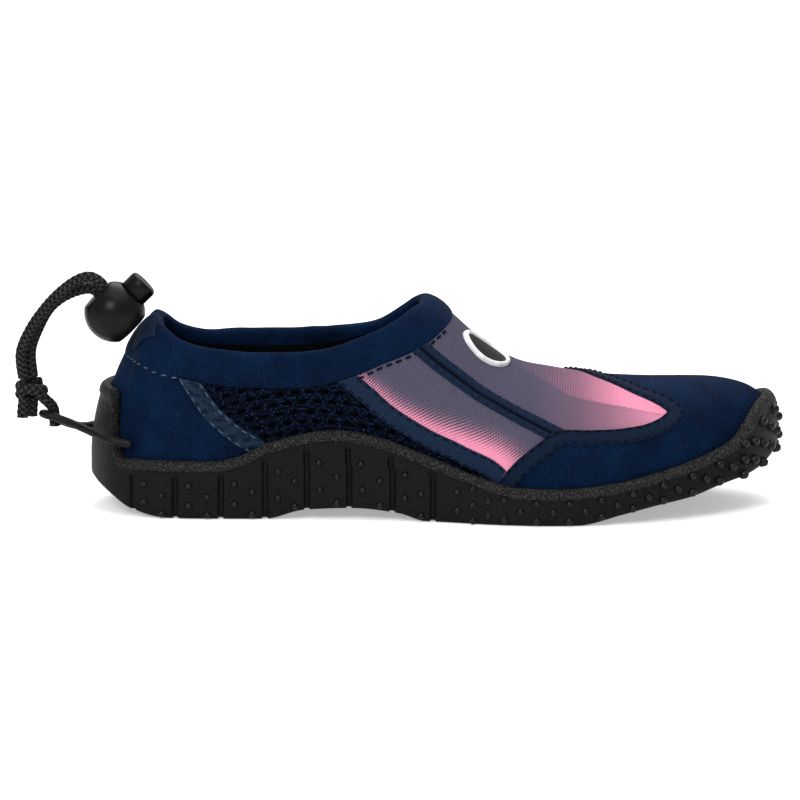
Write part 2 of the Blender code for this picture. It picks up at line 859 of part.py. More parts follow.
def on_the_upper(section, girth):
    """Whether a place lies between the collar's seam and the rubber."""
    q = section if girth < 0 else -section
    p = shoe_point(section, girth)
    below_seam = p.z < collar_seam(p.x) - 2 * GAP
    return below_seam and 1 - abs(girth) > rim_share(round(q, 4)) + 0.016


def make_tape(name, marks, side, width, look, steps, keep):
    """A raised band along its marks, cut off where keep says that something else begins."""
    path = [(mark.section, mark.girth * side) for mark in marks]
    scan = 80

    def place(share, across):
        here = route(path, share)
        ahead = route(path, min(share + 0.004, 1.0)) - route(path, max(share - 0.004, 0.0))
        return aside(here[0], here[1], ahead, across * width / 2)

    def end_of(across, kept, lost):
        for _ in range(14):
            middle = (kept + lost) / 2
            if keep(*place(middle, across)):
                kept = middle
            else:
                lost = middle
        return kept

    lines = []
    for across in (-1, 0, 1):
        kept = [keep(*place(i / scan, across)) for i in range(scan + 1)] + [False]
        begin = kept.index(True)
        stop = kept.index(False, begin)
        first, last = begin / scan, (stop - 1) / scan
        if begin > 0:
            first = end_of(across, first, first - 1 / scan)
        if stop <= scan:
            last = end_of(across, last, last + 1 / scan)
        lines.append([place(first + (last - first) * i / steps, across) for i in range(steps + 1)])
    crown = (TAPE_THICKNESS, 1.3 * TAPE_THICKNESS, TAPE_THICKNESS)
    columns = []
    for row in zip(*lines):
        top = [off_shoe(*at, GAP + high) for at, high in zip(row, crown)]
        bottom = [off_shoe(*at, GAP) for at in reversed(row)]
        columns.append(top + bottom)
    points, numbers = numbered(columns)
    faces = strips(numbers, False, loop=True) + [numbers[0], numbers[-1]]
    return add_object(name, points, faces, look)


def make_tapes(tape_look, webbing_look):
    toe_line = toe_tape_line()

    def clear_of_toe_tape(section, girth):
        if not on_the_upper(section, girth):
            return False
        here = shoe_point(section, girth)
        return min((here - p).length for p in toe_line) > TOE_TAPE_WIDTH / 2 + 2 * GAP

    for label, side in (("lateral", -1), ("medial", 1)):
        make_tape(
            "vamp_tape_" + label, VAMP_TAPE, side, TAPE_WIDTH, tape_look, 10, clear_of_toe_tape
        )
        make_tape(
            "side_tape_" + label, SIDE_TAPE, side, TAPE_WIDTH, tape_look, 10, clear_of_toe_tape
        )
        make_tape(
            "heel_tape_" + label, HEEL_TAPE, side, TAPE_WIDTH, webbing_look, 8, on_the_upper
        )
    make_tape("toe_tape", TOE_TAPE, 1, TOE_TAPE_WIDTH, tape_look, 30, on_the_upper)


def make_disc(name, mark, inner, outer, low, high, look, sides=20):
    """A flat ring or disc bent over the upper round a mark."""
    def place(radius, turn, distance):
        forward = aside(mark.section, mark.girth, (0.0, 1.0), radius * math.cos(turn))
        both = aside(mark.section, mark.girth, (1.0, 0.0), radius * math.sin(turn))
        section = forward[0] + both[0] - mark.section
        girth = forward[1] + both[1] - mark.girth
        return off_shoe(section, girth, distance)

    columns = []
    for i in range(sides):
        turn = 2 * math.pi * i / sides
        middle = (inner + outer) / 2
        column = [place(inner, turn, low), place(middle, turn, low), place(outer, turn, low)]
        column += [place(outer, turn, high), place(middle, turn, high), place(inner, turn, high)]
        columns.append(column)
    points, numbers = numbered(columns)
    return add_object(name, points, strips(numbers, True, loop=inner > 0), look)


def make_tunnel_mouth(look):
    """A small ribbed patch lying on the collar where the drawcord comes out of it."""
    out = COLLAR_OUT * COLLAR_PADDING
    columns = []
    marks = [tuple(mark) for mark in TUNNEL_MOUTH]
    for i in range(5):
        section, girth = route(marks, i / 4)
        places = [aside(section, girth, (1.0, 0.0), way * TUNNEL_HEIGHT / 2) for way in (-1, 0, 1)]
        low = [off_shoe(*place, out + 2 * GAP) for place in places]
        high = [off_shoe(*place, out + 2 * GAP + TAPE_THICKNESS) for place in reversed(places)]
        columns.append(low + high)
    points, numbers = numbered(columns)
    faces = strips(numbers, False, loop=True) + [numbers[0], numbers[-1]]
    return add_object("cord_tunnel", points, faces, look)


def make_badge(ring_look, field_look):
    low, high = 2 * GAP, 2 * GAP + BADGE_THICKNESS
    make_disc("badge_ring", BADGE, BADGE_RADIUS - BADGE_RING, BADGE_RADIUS, low, high, ring_look)
    field = BADGE_RADIUS - BADGE_RING - GAP
    make_disc("badge_field", BADGE, 0.0, field, low, high - GAP, field_look)


def make_cord(name, points, diameter, look):
    """A cord along a smooth curve through its points, with flat ends."""
    curve = bpy.data.curves.new(name, "CURVE")
    curve.dimensions = "3D"
    curve.bevel_depth = diameter / 2
    curve.bevel_resolution = 2
    curve.use_fill_caps = True
    rough = [Vector(route(points, i / 200)) for i in range(201)]
    length = sum((b - a).length for a, b in zip(rough, rough[1:]))
    count = max(3, round(length / (1.6 * diameter)))
    spline = curve.splines.new("POLY")
    spline.points.add(count)
    for i in range(count + 1):
        spline.points[i].co = (*route(points, i / count), 1.0)
    curve.materials.append(look)
    made = bpy.data.objects.new(name, curve)
    bpy.context.scene.collection.objects.link(made)
    return made


def turned(profile, centre, axis, sides):
    """Points and faces of a body turned about an axis, from (radius, height) pairs."""
    axis = axis.normalized()
    aside_1 = axis.orthogonal().normalized()
    aside_2 = axis.cross(aside_1)
    columns = []
    for i in range(sides):
        turn = 2 * math.pi * i / sides
        out = aside_1 * math.cos(turn) + aside_2 * math.sin(turn)
        columns.append([centre + out * radius + axis * height for radius, height in profile])
    points, numbers = numbered(columns)
    return points, strips(numbers, True)


def make_cord_lock(ball_look, plunger_look):
    """A ball with a blind bore, and the spring button that slides in it."""
    bore = PLUNGER_RADIUS + GAP
    bore_floor = PLUNGER_BACK - PLUNGER_TRAVEL - 2 * GAP
    mouth = math.asin(bore / LOCK_RADIUS)
    profile = [(0.0, bore_floor), (bore, bore_floor)]
    turns = 8
    for i in range(turns + 1):
        angle = mouth + (math.pi - mouth) * i / turns
        profile.append((LOCK_RADIUS * math.sin(angle), LOCK_RADIUS * math.cos(angle)))
    points, faces = turned(profile, LOCK_CENTRE, PLUNGER_OUT, 16)
    add_object("cord_lock_ball", points, faces, ball_look)
    radius, edge = PLUNGER_RADIUS, 0.0007
    profile = [
        (0.0, PLUNGER_BACK),
        (radius, PLUNGER_BACK),
        (radius, PLUNGER_END - edge),
        (radius - edge, PLUNGER_END),
        (0.0, PLUNGER_END),
    ]
    points, faces = turned(profile, LOCK_CENTRE, PLUNGER_OUT, 16)
    add_object("cord_lock_plunger", points, faces, plunger_look)


def make_drawcord(cord_look, tether_look):
    make_cord("drawcord_outer", DRAWCORD_OUTER, CORD_DIAMETER, cord_look)
    make_cord("drawcord_inner", DRAWCORD_INNER, CORD_DIAMETER, cord_look)
    make_cord("drawcord_tail_outer", TAIL_OUTER, CORD_DIAMETER, cord_look)
    make_cord("drawcord_tail_inner", TAIL_INNER, CORD_DIAMETER, cord_look)
    make_cord("drawcord_bight", BIGHT, CORD_DIAMETER, cord_look)
    make_cord("heel_tether", TETHER, TETHER_DIAMETER, tether_look)
    rings = 6
    profile = []
    for i in range(rings + 1):
        angle = math.pi * i / rings
        profile.append((math.sin(angle), math.cos(angle)))
    points, faces = turned(profile, Vector((0, 0, 0)), Vector((0, 0, 1)), 10)
    points = [KNOT_CENTRE + p * KNOT_RADII for p in points]
    add_object("drawcord_knot", points, faces, cord_look)


def clear_scene():
    for old in list(bpy.data.objects):
        bpy.data.objects.remove(old)


def main():
    clear_scene()
    rubber = material("black rubber", (0.012, 0.012, 0.013), 0.6)
    foam = material("insole foam", (0.02, 0.025, 0.035), 0.9)
    fabric = material("navy stretch fabric", (0.02, 0.03, 0.07), 0.85)
    neoprene = material("navy neoprene", (0.006, 0.015, 0.05), 0.8)
    tape = material("ribbed seam tape", (0.018, 0.035, 0.07), 0.7)
    webbing = material("worn navy webbing", (0.08, 0.11, 0.17), 0.85)
    ring = material("white badge print", (0.80, 0.80, 0.82), 0.5)
    field = material("black badge print", (0.01, 0.01, 0.012), 0.45)
    plastic = material("black moulded plastic", (0.008, 0.008, 0.009), 0.45)
    cord = material("black braided cord", (0.006, 0.006, 0.007), 0.8)
    strap = material("black smooth strap", (0.006, 0.006, 0.007), 0.55)
    make_sole(rubber)
    make_insole(foam)
    make_upper(fabric)
    make_collar(neoprene)
    make_tapes(tape, webbing)
    make_tunnel_mouth(webbing)
    make_badge(ring, field)
    make_cord_lock(plastic, plastic)
    make_drawcord(cord, strap)


main()
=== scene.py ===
import math

import bmesh
import bpy
import numpy as np
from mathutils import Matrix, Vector


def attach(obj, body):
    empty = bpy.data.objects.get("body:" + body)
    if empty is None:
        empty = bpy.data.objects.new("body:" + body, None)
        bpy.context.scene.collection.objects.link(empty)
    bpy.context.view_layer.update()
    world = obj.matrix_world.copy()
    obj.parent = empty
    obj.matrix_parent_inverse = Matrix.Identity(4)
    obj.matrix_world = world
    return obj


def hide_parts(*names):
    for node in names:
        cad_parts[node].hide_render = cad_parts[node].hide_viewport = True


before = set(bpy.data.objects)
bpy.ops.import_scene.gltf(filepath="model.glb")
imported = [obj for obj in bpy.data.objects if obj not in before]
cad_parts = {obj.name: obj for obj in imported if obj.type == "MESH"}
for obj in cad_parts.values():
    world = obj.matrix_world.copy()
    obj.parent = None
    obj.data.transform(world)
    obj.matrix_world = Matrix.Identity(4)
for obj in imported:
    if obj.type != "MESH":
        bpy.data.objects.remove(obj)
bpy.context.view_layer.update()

# The photographer's table
# A white sheet lies under the shoe and white light comes from all round, with one large soft lamp
# over the shoe's outer side. The camera looks at that side from a little above, through a long lens.
CAMERA_RISE = math.radians(10.2)
CAMERA_DISTANCE = 5.00
SEEN_WIDTH = 0.2888
AIM = Vector((-0.0135, 0.0, 0.0379))
SHEET_SIZE = 6.0
# What the paper glows with, and how much more of it the camera sees. The same for the room's light.
PAPER_GLOW, PAPER_GLOW_SEEN = 0.06, 0.32
ROOM_LIGHT, ROOM_LIGHT_SEEN = 0.60, 0.40


def srgb(code):
    """The linear colour of an sRGB hex value."""
    shares = [int(code[i : i + 2], 16) / 255 for i in (1, 3, 5)]
    return (*[s / 12.92 if s < 0.0405 else ((s + 0.055) / 1.055) ** 2.4 for s in shares], 1.0)


MOSTLY_READ = {"ShaderNodeMix": 2, "ShaderNodeAttribute": "Fac", "ShaderNodeTexCoord": "Object"}


def main_output(source):
    """The output that a node is mostly read by, or the output itself where one is given."""
    if isinstance(source, bpy.types.NodeSocket):
        return source
    return source.outputs[MOSTLY_READ.get(source.bl_idname, 0)]


def add(look, kind, inputs=None, stops=(), **settings):
    """Adds a node to a material, with its settings, its values or links, and a colour ramp's stops."""
    made = look.node_tree.nodes.new("ShaderNode" + kind)
    for name, value in settings.items():
        setattr(made, name, value)
    for socket, value in (inputs or {}).items():
        if isinstance(value, (bpy.types.NodeSocket, bpy.types.Node)):
            look.node_tree.links.new(main_output(value), made.inputs[socket])
        else:
            made.inputs[socket].default_value = value
    for i, (place, colour) in enumerate(stops):
        stop = made.color_ramp.elements[i] if i < 2 else made.color_ramp.elements.new(place)
        stop.position, stop.color = place, srgb(colour) if isinstance(colour, str) else colour
    return made


def new_finish(name, roughness, **sockets):
    """A material by the name of its stuff, and its shader with the values that are the same all over."""
    look = bpy.data.materials.new(name)
    look.use_nodes = True
    shader = look.node_tree.nodes["Principled BSDF"]
    shader.inputs["Roughness"].default_value = roughness
    for socket, value in sockets.items():
        shader.inputs[socket.replace("_", " ")].default_value = value
    return look, shader


def put(look, shader, socket, source):
    """Links a node or an output of one to a socket of the shader."""
    look.node_tree.links.new(main_output(source), shader.inputs[socket])


camera_data = bpy.data.cameras.new("camera")
camera_data.lens = camera_data.sensor_width * CAMERA_DISTANCE / SEEN_WIDTH
camera = bpy.data.objects.new("camera", camera_data)
bpy.context.scene.collection.objects.link(camera)
toward = Vector((0.0, -math.cos(CAMERA_RISE), math.sin(CAMERA_RISE)))
camera.location = AIM + toward * CAMERA_DISTANCE
camera.rotation_euler = (math.pi / 2 - CAMERA_RISE, 0.0, 0.0)
bpy.context.scene.camera = camera

bpy.ops.object.select_all(action="DESELECT")
bpy.ops.mesh.primitive_plane_add(size=SHEET_SIZE, location=(0, 0, 0))
floor = bpy.context.object
floor.name = "white_sheet"
# Uncoated paper spreads the light evenly and shows no gloss.
paper, paper_shader = new_finish("matt white paper", 0.9)
paper_shader.inputs["Base Color"].default_value = srgb("#F4F4F4")
paper_shader.inputs["Emission Color"].default_value = srgb("#FFFFFF")
# The lit room behind the camera keeps the paper white even where the shoe shades it.
paper_ray = add(paper, "LightPath")
paper_seen = {0: paper_ray.outputs["Is Camera Ray"], 1: PAPER_GLOW_SEEN, 2: PAPER_GLOW}
paper_glow = add(paper, "Math", paper_seen, operation="MULTIPLY_ADD")
put(paper, paper_shader, "Emission Strength", paper_glow)
floor.data.materials.append(paper)

world = bpy.data.worlds.new("white room")
bpy.context.scene.world = world
world.use_nodes = True
room = world.node_tree.nodes["Background"]
room.inputs["Color"].default_value = (1, 1, 1, 1)
# The room's paper is seen as white, and throws less light on the shoe than the lamp above does.
room_ray = add(world, "LightPath")
room_seen = {0: room_ray.outputs["Is Camera Ray"], 1: ROOM_LIGHT_SEEN, 2: ROOM_LIGHT}
put(world, room, "Strength", add(world, "Math", room_seen, operation="MULTIPLY_ADD"))
bpy.context.scene.view_settings.view_transform = "Standard"

LAMPS = [
    ("lamp over the shoe", (0.10, -0.15, 1.30), 1.20, 8.6),
    ("lamp before the shoe", (-0.45, -1.00, 0.75), 0.40, 7.0),
    ("lamp behind the shoe", (0.10, 0.80, 1.00), 0.80, 6.0),
]
for name, place, width, power in LAMPS:
    lamp_data = bpy.data.lights.new(name, "AREA")
    lamp_data.size = width
    lamp_data.energy = power
    lamp = bpy.data.objects.new(name, lamp_data)
    lamp.location = place
    lamp.rotation_euler = (AIM - lamp.location).to_track_quat("-Z", "Y").to_euler()
    bpy.context.scene.collection.objects.link(lamp)


# Drawcord and its knot
# A 4 mm round braided polyester cord comes doubled out of the lock, stands off in a stiff arch and is
# tied in an overhand knot with two cut tails. A third end of it goes on to the strap at the heel.
CORD_DIAMETER = 0.0040
BRAID_LENGTH = 0.0042
BRAID_RELIEF = 0.11
BRAID_MEAN = 0.6
STRANDS_EACH_WAY = 4
CORD_SIDES = 20
END_BULGE = 0.15
DRAWCORD_OUTER = [
    (-0.1190, -0.0151, 0.0806), (-0.1216, -0.0155, 0.0840), (-0.1252, -0.0154, 0.0856),
    (-0.1296, -0.0147, 0.0842), (-0.1350, -0.0138, 0.0802), (-0.1406, -0.0124, 0.0742),
    (-0.1462, -0.0105, 0.0660), (-0.1499, -0.0086, 0.0569), (-0.1492, -0.0070, 0.0474),
]
DRAWCORD_INNER = [
    (-0.1211, -0.0113, 0.0784), (-0.1246, -0.0108, 0.0806), (-0.1296, -0.0101, 0.0798),
    (-0.1350, -0.0092, 0.0772), (-0.1398, -0.0078, 0.0728), (-0.1436, -0.0062, 0.0658),
    (-0.1466, -0.0045, 0.0570), (-0.1460, -0.0034, 0.0473),
]
TAIL_OUTER = [(-0.1490, -0.0066, 0.0400), (-0.1495, -0.0070, 0.0355), (-0.1496, -0.0072, 0.0328)]
TAIL_INNER = [(-0.1458, -0.0026, 0.0400), (-0.1462, -0.0022, 0.0355), (-0.1463, -0.0020, 0.0326)]
BIGHT = [
    (-0.1440, -0.0060, 0.0415), (-0.1414, -0.0058, 0.0392), (-0.1388, -0.0036, 0.0360),
    (-0.1382, -0.0026, 0.0325), (-0.1380, -0.0024, 0.0290),
]


def between(a, b, c, d, t):
    """A smooth curve from b to c that heads for its neighbours a and d, at share t."""
    curve = 2 * b + t * (c - a) + t**2 * (2 * a - 5 * b + 4 * c - d)
    return 0.5 * (curve + t**3 * (3 * b - a - 3 * c + d))


def route(points, shares):
    """The places at shares of the way along a smooth curve through the points."""
    points = np.asarray(points, float)
    last = len(points) - 1
    shares = np.asarray(shares, float)
    i = np.minimum((shares * last).astype(int), last - 1)
    near = [points[np.clip(i + step, 0, last)] for step in (-1, 0, 1, 2)]
    return between(*near, (shares * last - i)[..., None])


def lengths_along(points, axis=0):
    """How far along a line each of its points lies."""
    steps = np.linalg.norm(np.diff(points, axis=axis), axis=-1)
    return np.insert(np.cumsum(steps, axis=axis), 0, 0.0, axis=axis)


def even_line(points, spacing):
    """Points along a smooth curve at even distances, and how far along each lies."""
    rough = route(points, np.linspace(0, 1, 400))
    along = lengths_along(rough)
    places = np.linspace(0, along[-1], max(4, round(along[-1] / spacing)) + 1)
    line = np.stack([np.interp(places, along, rough[:, i]) for i in range(3)], axis=1)
    return line, places


def show(name, points, faces, look, uv=None, body="shoe"):
    """A finished piece from points and faces, with its map in metres where it has one."""
    mesh = bpy.data.meshes.new(name)
    mesh.from_pydata(np.reshape(points, (-1, 3)).tolist(), [], faces)
    mesh.update()
    if uv is not None:
        layer = mesh.uv_layers.new(name="fabric")
        corners = np.empty(len(mesh.loops), np.int32)
        mesh.loops.foreach_get("vertex_index", corners)
        layer.data.foreach_set("uv", np.reshape(uv, (-1, 2)).astype(np.float32)[corners].ravel())
    mesh.shade_smooth()
    made = bpy.data.objects.new(name, mesh)
    bpy.context.scene.collection.objects.link(made)
    mesh.materials.append(look)
    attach(made, body)
    return made


def mark(piece, name, values):
    """Values at the points of a piece, for its material to read."""
    layer = piece.data.attributes.new(name, "FLOAT", "POINT")
    layer.data.foreach_set("value", np.asarray(values, np.float32).ravel())


def grid_faces(columns, rows, closed=False, loop=False, start=0):
    """Four-sided faces of a grid of columns, each with the same number of rows."""
    faces = []
    for i in range(columns if closed else columns - 1):
        here, there = start + i * rows, start + ((i + 1) % columns) * rows
        for j in range(rows if loop else rows - 1):
            k = (j + 1) % rows
            faces.append((here + j, there + j, there + k, here + k))
    return faces


def frames_along(line):
    """Two directions across a line at each point, turning as little as they can."""
    heading = np.gradient(line, axis=0)
    heading /= np.linalg.norm(heading, axis=1)[:, None]
    side = np.cross(heading[0], (0.0, 1.0, 0.0))
    if np.linalg.norm(side) < 0.2:
        side = np.cross(heading[0], (0.0, 0.0, 1.0))
    sides = []
    for way in heading:
        side = side - way * (side @ way)
        side = side / np.linalg.norm(side)
        sides.append(side)
    sides = np.array(sides)
    return heading, sides, np.cross(heading, sides)


def braid(turn, along):
    """How high the braid stands: strands run both ways round and pass over one another."""
    one = turn * STRANDS_EACH_WAY + along / BRAID_LENGTH * 2
    other = turn * STRANDS_EACH_WAY - along / BRAID_LENGTH * 2
    over = (np.floor(one) + np.floor(other)) % 2
    return np.where(over > 0, np.abs(np.sin(np.pi * one)), np.abs(np.sin(np.pi * other)))


def tube(name, points, radius, look, relief=None, spacing=0.0003):
    """A round tube along a line, with rounded closed ends. Returns the piece, its line and its length."""
    line, along = even_line(points, spacing)
    heading, right, up = frames_along(line)
    turns = np.arange(CORD_SIDES) / CORD_SIDES
    size = np.full((len(line), CORD_SIDES), radius)
    if relief:
        size *= 1 + BRAID_RELIEF * (relief(turns[None, :], along[:, None]) - BRAID_MEAN)
    circle = 2 * math.pi * turns
    rings = line[:, None] + size[..., None] * (
        np.cos(circle)[None, :, None] * right[:, None]
        + np.sin(circle)[None, :, None] * up[:, None]
    )
    count = len(line)
    points_out = rings.reshape(-1, 3).tolist()
    uv = [(t * 2 * math.pi * radius, a) for a in along for t in turns]
    faces = [tuple(reversed(f)) for f in grid_faces(count, CORD_SIDES, loop=True)]
    first_tip = line[0] - heading[0] * radius * END_BULGE
    last_tip = line[-1] + heading[-1] * radius * END_BULGE
    for ring, tip in ((0, first_tip), (count - 1, last_tip)):
        points_out.append(tuple(tip))
        uv.append((0.0, along[ring]))
        middle = len(points_out) - 1
        for j in range(CORD_SIDES):
            a, b = ring * CORD_SIDES + j, ring * CORD_SIDES + (j + 1) % CORD_SIDES
            faces.append((a, b, middle) if ring else (b, a, middle))
    made = show(name, points_out, faces, look, uv)
    if relief:
        strands = np.zeros(len(points_out), np.float32)
        strands[: size.size] = relief(turns[None, :], along[:, None]).ravel()
        mark(made, "strand", strands)
    return made, line, float(along[-1])


def flip_if_inside_out(piece):
    """Turns all faces of a closed piece outwards if they point in."""
    work = bmesh.new()
    work.from_mesh(piece.data)
    if work.calc_volume(signed=True) < 0:
        bmesh.ops.reverse_faces(work, faces=work.faces)
        work.to_mesh(piece.data)
    work.free()


# Braided from spun-dyed filament yarn, so the cord is matt black with a weak sheen along its strands.
braided, braided_shader = new_finish(
    "braided polyester cord", 0.72, Specular_IOR_Level=0.1, Sheen_Weight=0.03
)
braided_shader.inputs["Sheen Tint"].default_value = srgb("#8A8A90")
cord_map = add(braided, "UVMap", uv_map="fabric")
# Filaments of the yarn, 0.25 mm apart, drawn at 0.5 mm so that they show.
filaments = add(braided, "TexNoise", {"Vector": cord_map, "Scale": 2000.0, "Detail": 2.0})
tone = add(braided, "ValToRGB", {"Fac": filaments}, ((0.35, "#020203"), (0.72, "#131315")))
# Painted highlight and shade: the crowns of the strands are painted lighter, the grooves between them
# darker.
crown = add(braided, "Attribute", attribute_name="strand")
crown_highlight_range = {"Value": crown, "From Min": 0.55, "From Max": 1.0, "To Min": 0.0, "To Max": 0.55}
crown_highlight_share = add(braided, "MapRange", crown_highlight_range)
crown_highlight_tone = add(braided, "Mix", {"Factor": crown_highlight_share, 6: tone, 7: srgb("#4A4A4E")}, data_type="RGBA")
put(braided, braided_shader, "Base Color", crown_highlight_tone)
put(
    braided, braided_shader, "Normal",
    add(braided, "Bump", {"Height": filaments, "Strength": 0.5, "Distance": 0.0002}),
)

cords = {}
for name, points in (
    ("drawcord_outer", DRAWCORD_OUTER),
    ("drawcord_inner", DRAWCORD_INNER),
    ("drawcord_tail_outer", TAIL_OUTER),
    ("drawcord_tail_inner", TAIL_INNER),
    ("drawcord_bight", BIGHT),
):
    piece, line, length = tube(name + "_braid", points, CORD_DIAMETER / 2, braided, braid)
    flip_if_inside_out(piece)
    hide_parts(name)
    cords[name] = (piece, line, length)

# The knot's wraps: their middle, reach along and across, height and drop, first turn and how many.
KNOT_CENTRE = np.array((-0.1463, -0.0050, 0.0427))
KNOT_ALONG, KNOT_ACROSS = 0.0040, 0.0030
KNOT_HEIGHT, KNOT_DROP = 0.0022, 0.0042
KNOT_START, KNOT_TURNS = 0.12, 1.55
knot_share = np.linspace(0, 1, 41)
wrap = 2 * math.pi * (KNOT_START + KNOT_TURNS * knot_share)
knot_x = KNOT_CENTRE[0] + KNOT_ALONG * np.cos(wrap)
knot_y = KNOT_CENTRE[1] + KNOT_ACROSS * np.sin(wrap)
knot_line = np.stack([knot_x, knot_y, KNOT_CENTRE[2] + KNOT_HEIGHT - KNOT_DROP * knot_share], axis=1)
knot, _, _ = tube("drawcord_knot_wraps", knot_line, CORD_DIAMETER / 2, braided, braid)
flip_if_inside_out(knot)
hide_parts("drawcord_knot")

# Heel strap
# A smooth flat strap of black rubber-coated cord goes doubled from the end of the drawcord round the
# heel tab and under the rubber's edge on both sides.
TETHER_DIAMETER = 0.0029
TETHER = [
    (-0.1101, -0.0256, 0.0262), (-0.1134, -0.0251, 0.0268), (-0.1170, -0.0243, 0.0275),
    (-0.1207, -0.0214, 0.0283), (-0.1247, -0.0165, 0.0292), (-0.1309, -0.0100, 0.0308),
    (-0.1370, -0.0070, 0.0326), (-0.1408, -0.0058, 0.0334), (-0.1424, -0.0024, 0.0334),
    (-0.1408, 0.0012, 0.0326), (-0.1370, 0.0024, 0.0304), (-0.1322, 0.0066, 0.0278),
    (-0.1278, 0.0110, 0.0264), (-0.1243, 0.0162, 0.0260), (-0.1201, 0.0221, 0.0258),
    (-0.1170, 0.0244, 0.0257), (-0.1134, 0.0252, 0.0258), (-0.1101, 0.0258, 0.0259),
]


def mottled(name, roughness, gloss, marks, stops, kind="TexNoise", by_map=False):
    """A finish that wanders between two tones. Returns it, its shader and the place it is read at."""
    look, shader = new_finish(name, roughness, Specular_IOR_Level=gloss)
    place = add(look, "UVMap", uv_map="fabric") if by_map else add(look, "TexCoord")
    pattern = add(look, kind, {"Vector": place, **marks})
    put(look, shader, "Base Color", add(look, "ValToRGB", {"Fac": pattern}, stops))
    return look, shader, place


# Dipped in rubber and cured, so the strap is smooth and dull black, with faint marks 1.5 mm long.
strap, _, _ = mottled(
    "coated black strap", 0.50, 0.14, {"Scale": 700.0, "Detail": 4.0},
    ((0.0, "#040405"), (1.0, "#161618")), by_map=True,
)
tether, tether_line, tether_length = tube(
    "heel_tether_strap", TETHER, TETHER_DIAMETER / 2, strap, spacing=0.0008
)
flip_if_inside_out(tether)
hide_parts("heel_tether")

piece, line, length = cords["drawcord_outer"]
piece, line, length = cords["drawcord_inner"]

# Cord lock
# A ball of moulded black acetal, 22 mm across and matt, with flats where the cord goes through. A
# barrel with a rounded rim slides in it against a spring and grips the cord.
LOCK_CENTRE = Vector((-0.1161, -0.0131, 0.0725))
LOCK_RADIUS = 0.0110
LOCK_FLAT = 0.0088
PLUNGER_OUT = Vector((0.709, 0.0, 0.705)).normalized()
CORD_WAY = Vector((-0.705, 0.0, 0.709)).normalized()
PLUNGER_RADIUS = 0.0054
PLUNGER_END = 0.0156
PLUNGER_BACK = 0.0065
BORE_CLEAR = 0.0003
BORE_LENGTH = 0.0085
MOUTH_CHAMFER = 0.0007
FLAT_ROUNDING = 0.12

# Moulded in a spark-eroded tool, so the ball is matt black with one soft wide light on it.
acetal, acetal_shader, acetal_place = mottled(
    "matt black acetal", 0.33, 0.14, {"Scale": 160.0, "Detail": 4.0}, ((0.0, "#040405"), (1.0, "#0D0D0E"))
)
# The tool's spark texture, 0.3 mm across.
spark = add(acetal, "TexNoise", {"Vector": acetal_place, "Scale": 3200.0, "Detail": 3.0})
put(
    acetal, acetal_shader, "Normal",
    add(acetal, "Bump", {"Height": spark, "Strength": 0.25, "Distance": 0.00008}),
)


def merge(piece, distance=1e-6, outwards=False):
    """Joins points that lie together and, where asked, turns all faces outwards."""
    work = bmesh.new()
    work.from_mesh(piece.data)
    bmesh.ops.remove_doubles(work, verts=work.verts, dist=distance)
    if outwards:
        bmesh.ops.recalc_face_normals(work, faces=work.faces)
    work.to_mesh(piece.data)
    work.free()


def revolve(name, profile, centre, axis, sides, look, body="shoe"):
    """A body turned about an axis from pairs of radius and height, its ends on the axis."""
    across = axis.orthogonal().normalized()
    other = axis.cross(across)
    columns = []
    for i in range(sides):
        turn = 2 * math.pi * i / sides
        out = across * math.cos(turn) + other * math.sin(turn)
        columns += [centre + out * radius + axis * height for radius, height in profile]
    made = show(name, columns, grid_faces(sides, len(profile), closed=True), look, body=body)
    merge(made, outwards=True)
    made.data.shade_smooth()
    return made


bore = PLUNGER_RADIUS + BORE_CLEAR
mouth = math.asin((bore + MOUTH_CHAMFER) / LOCK_RADIUS)
ball_profile = [(0.0, 0.0), (bore, 0.0), (bore, BORE_LENGTH), (bore + 0.0002, BORE_LENGTH + MOUTH_CHAMFER)]
for i in range(41):
    angle = mouth + (math.pi - mouth) * i / 40
    ball_profile.append((LOCK_RADIUS * math.sin(angle), LOCK_RADIUS * math.cos(angle)))
ball = revolve("cord_lock_shell", ball_profile, LOCK_CENTRE, PLUNGER_OUT, 72, acetal)
for corner in ball.data.vertices:
    away = (corner.co - LOCK_CENTRE).dot(CORD_WAY)
    if abs(away) > LOCK_FLAT:
        side = 1 if away > 0 else -1
        corner.co -= CORD_WAY * (away - side * (LOCK_FLAT + FLAT_ROUNDING * (abs(away) - LOCK_FLAT)))
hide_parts("cord_lock_ball")

button_profile = [
    (0.0, PLUNGER_BACK),
    (PLUNGER_RADIUS, PLUNGER_BACK),
    (PLUNGER_RADIUS, PLUNGER_END - 0.0016),
    (PLUNGER_RADIUS - 0.0001, PLUNGER_END - 0.0009),
    (PLUNGER_RADIUS - 0.0004, PLUNGER_END - 0.0004),
    (PLUNGER_RADIUS - 0.0009, PLUNGER_END - 0.0001),
    (PLUNGER_RADIUS - 0.0014, PLUNGER_END),
    (PLUNGER_RADIUS - 0.0022, PLUNGER_END - 0.0001),
    (0.0, PLUNGER_END - 0.0003),
]
button = revolve(
    "cord_lock_button", button_profile, LOCK_CENTRE, PLUNGER_OUT, 48, acetal, "lock_button"
)
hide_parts("cord_lock_plunger")

# Rubber sole
# A cup sole of moulded black rubber, glued round the foot of the upper. Its wall has a rounded rim
# band, upright grooves that run on across the underside, and small studs that stand out at the toe.
SOLE_LENGTH = 0.250
BALL_WIDTH = 0.094
INSTEP_HEIGHT = 0.077
TOE_SPRING = 0.028
GAP = 0.0003
UPPER_WALL = 0.0020
SOLE_WALL = 0.0027
SOLE_THICKNESS = 0.0055
SOLE_EDGE = 0.0024
RIM_HEIGHT = 0.0038
RIM_DEPTH = 0.0008

